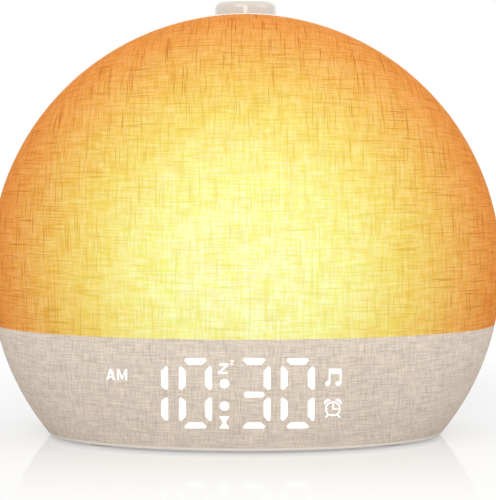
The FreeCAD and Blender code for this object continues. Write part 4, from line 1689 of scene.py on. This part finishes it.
@dataclass
class Studio:
    """White floor and backdrop, soft lamps and the camera of the photograph.

    Spans are distances from the clock's middle along the floor, in metres.
    """

    target: Vector
    camera_place: Triple = (0.0009, -0.6887, 0.1123)
    pitch: float = 3.84
    lens: float = 142.4
    sensor: float = 36.0
    nearest: float = 0.01
    sky: float = 0.98
    floor_size: float = 6.0
    floor_cells: int = 8
    floor_base: float = 0.42
    floor_glow: float = 0.46
    floor_lift: float = 0.20
    floor_roughness: float = 0.9
    lift_span: Span = (0.12, 0.5)
    squash: float = 0.35
    mirror_near: float = 0.22
    mirror_far: float = 0.02
    mirror_span: Span = (0.03, 0.13)
    mirror_roughness: float = 0.06
    lamps: tuple[Lamp, ...] = (
        Lamp("front_soft", (-0.5, -1.4, 1.3), (1.4, 1.4), 11.0),
        Lamp("side_soft", (1.3, -0.4, 0.9), (1.0, 1.0), 4.0),
        Lamp("strip", (0.0, -1.6, 0.45), (0.34, 0.8), 3.6),
    )

    def floor_finish(self) -> bpy.types.Material:
        """A pale floor that looks white and mirrors a little near the clock.

        Returns:
            The finish.
        """
        graph = Graph("floor_white")
        x, y, _ = graph.split(graph.place())
        away = graph.span(x, y, self.squash)
        glow = graph.math("MULTIPLY_ADD", graph.steps(away, *self.lift_span), self.floor_lift,
                          self.floor_glow)
        graph.set({
            "Base Color": (self.floor_base,) * 3,
            "Roughness": self.floor_roughness,
            "Specular IOR Level": 0.0,
            "Emission Color": WHITE,
            "Emission Strength": graph.math("MULTIPLY", graph.seen(), glow),
        })
        fade = graph.math("SUBTRACT", 1.0, graph.steps(away, *self.mirror_span))
        share = graph.math("MULTIPLY_ADD", fade, self.mirror_near - self.mirror_far,
                           self.mirror_far)
        mirror = graph.filled("ShaderNodeBsdfGlossy",
                              {"Color": WHITE, "Roughness": self.mirror_roughness})
        both = graph.filled("ShaderNodeMixShader",
                            {0: share, 1: graph.shader.outputs[0], 2: mirror})
        graph.feed(graph.tree.nodes["Material Output"].inputs[0], both)
        return graph.material

    def floor(self) -> None:
        """A large floor that is white to the camera and keeps the clock's shadow."""
        shape = Shape("studio_floor")
        bmesh.ops.create_grid(shape.bm, x_segments=self.floor_cells,
                              y_segments=self.floor_cells, size=self.floor_size)
        floor = shape.make()
        floor.data.materials.append(self.floor_finish())

    def world(self) -> None:
        """Even pale light from all round, white where the camera sees it."""
        world = bpy.data.worlds.new("studio")
        bpy.context.scene.world = world
        world.use_nodes = True
        nodes = Nodes(world.node_tree)
        back = nodes.tree.nodes["Background"]
        nodes.feed(back.inputs["Color"], WHITE)
        nodes.feed(back.inputs["Strength"], nodes.filled(
            "ShaderNodeMapRange", {"Value": nodes.seen(), "To Min": self.sky, "To Max": 1.0}))

    def camera(self) -> None:
        """The photograph's view."""
        data = bpy.data.cameras.new("camera")
        data.lens = self.lens
        data.sensor_width = data.sensor_height = self.sensor
        data.sensor_fit = "AUTO"
        data.clip_start = self.nearest
        camera = bpy.data.objects.new("camera", data)
        camera.location = self.camera_place
        camera.rotation_euler = (math.radians(90 - self.pitch), 0, 0)
        bpy.context.scene.collection.objects.link(camera)
        bpy.context.scene.camera = camera

    def build(self) -> None:
        """Sets up camera, floor, world and lamps."""
        self.camera()
        self.floor()
        self.world()
        for lamp in self.lamps:
            lamp.build(self.target)
        bpy.context.scene.view_settings.view_transform = "Standard"


def plain_finishes() -> dict[str, bpy.types.Material]:
    """Makes the finishes of every material slot but the linen.

    Returns:
        The finishes by slot.
    """
    moulded = {
        "milky_shell": Moulded("milky_shell", colour(244, 242, 234), 0.45),
        "grey_shell": Moulded("grey_shell", colour(190, 186, 178), 0.5),
        "white_tray": Moulded("white_tray", colour(246, 246, 243), 0.4),
        "white_housing": Moulded("white_housing", colour(234, 225, 213), 0.42),
        "cream_base": Moulded("cream_base", colour(244, 234, 222), 0.45),
        "pearl_knob": Moulded("pearl_knob", colour(198, 189, 178), 0.22, 0.004 * MM, 3600.0, 1.0),
        "grey_button": Moulded("grey_button", colour(206, 196, 184), 0.4),
        "black_plastic": Moulded("black_plastic", colour(30, 30, 32), 0.45),
        "clear_lens": Moulded("clear_lens", colour(236, 240, 242), 0.12),
        "led": Moulded("led", colour(250, 240, 205), 0.3),
        "rubber": Moulded("rubber", colour(226, 222, 214), 0.8),
        "foam": Moulded("foam", colour(48, 48, 50), 0.95, 0.15 * MM, 900.0),
        "speaker_paper": Moulded("speaker_paper", colour(44, 42, 40), 0.9, 0.06 * MM, 700.0),
        "capacitor_sleeve": Moulded("capacitor_sleeve", colour(28, 34, 58), 0.35),
        "cable_film": Moulded("cable_film", colour(228, 224, 210), 0.35),
    }
    metals = {
        "steel": Metal("steel", colour(180, 180, 182), 0.35),
        "bright_steel": Metal("bright_steel", colour(214, 214, 216), 0.2),
        "magnet_steel": Metal("magnet_steel", colour(120, 120, 124), 0.45),
    }
    made = {name: finish.build() for name, finish in {**moulded, **metals}.items()}
    made["circuit_board"] = Board().build()
    return made


def main() -> None:
    """Builds the scene in order."""
    logging.basicConfig(level=logging.INFO, format="%(message)s")
    form = Form.from_frame()
    Studio(form.middle()).build()
    finishes = plain_finishes()
    linen = Linen(form).build()
    finishes["linen"] = linen
    slots = {part["node"]: part["material_slot"] for part in frame["record"]["subparts"]}
    Innards(frame["nodes"], slots).dress(finishes)
    LinenCover(form).build(linen)
    Display(form).build(Glow().build())
    housing = RearHousing(form)
    housing.build(finishes["white_housing"])
    BaseRim(form, housing).build(finishes["cream_base"])
    DialKnob().build(finishes["pearl_knob"])
    RearKeys().build(finishes["grey_button"],
                     Moulded("key_print", colour(112, 104, 96), 0.6).build())


if __name__ == "__main__":
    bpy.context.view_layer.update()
    main()
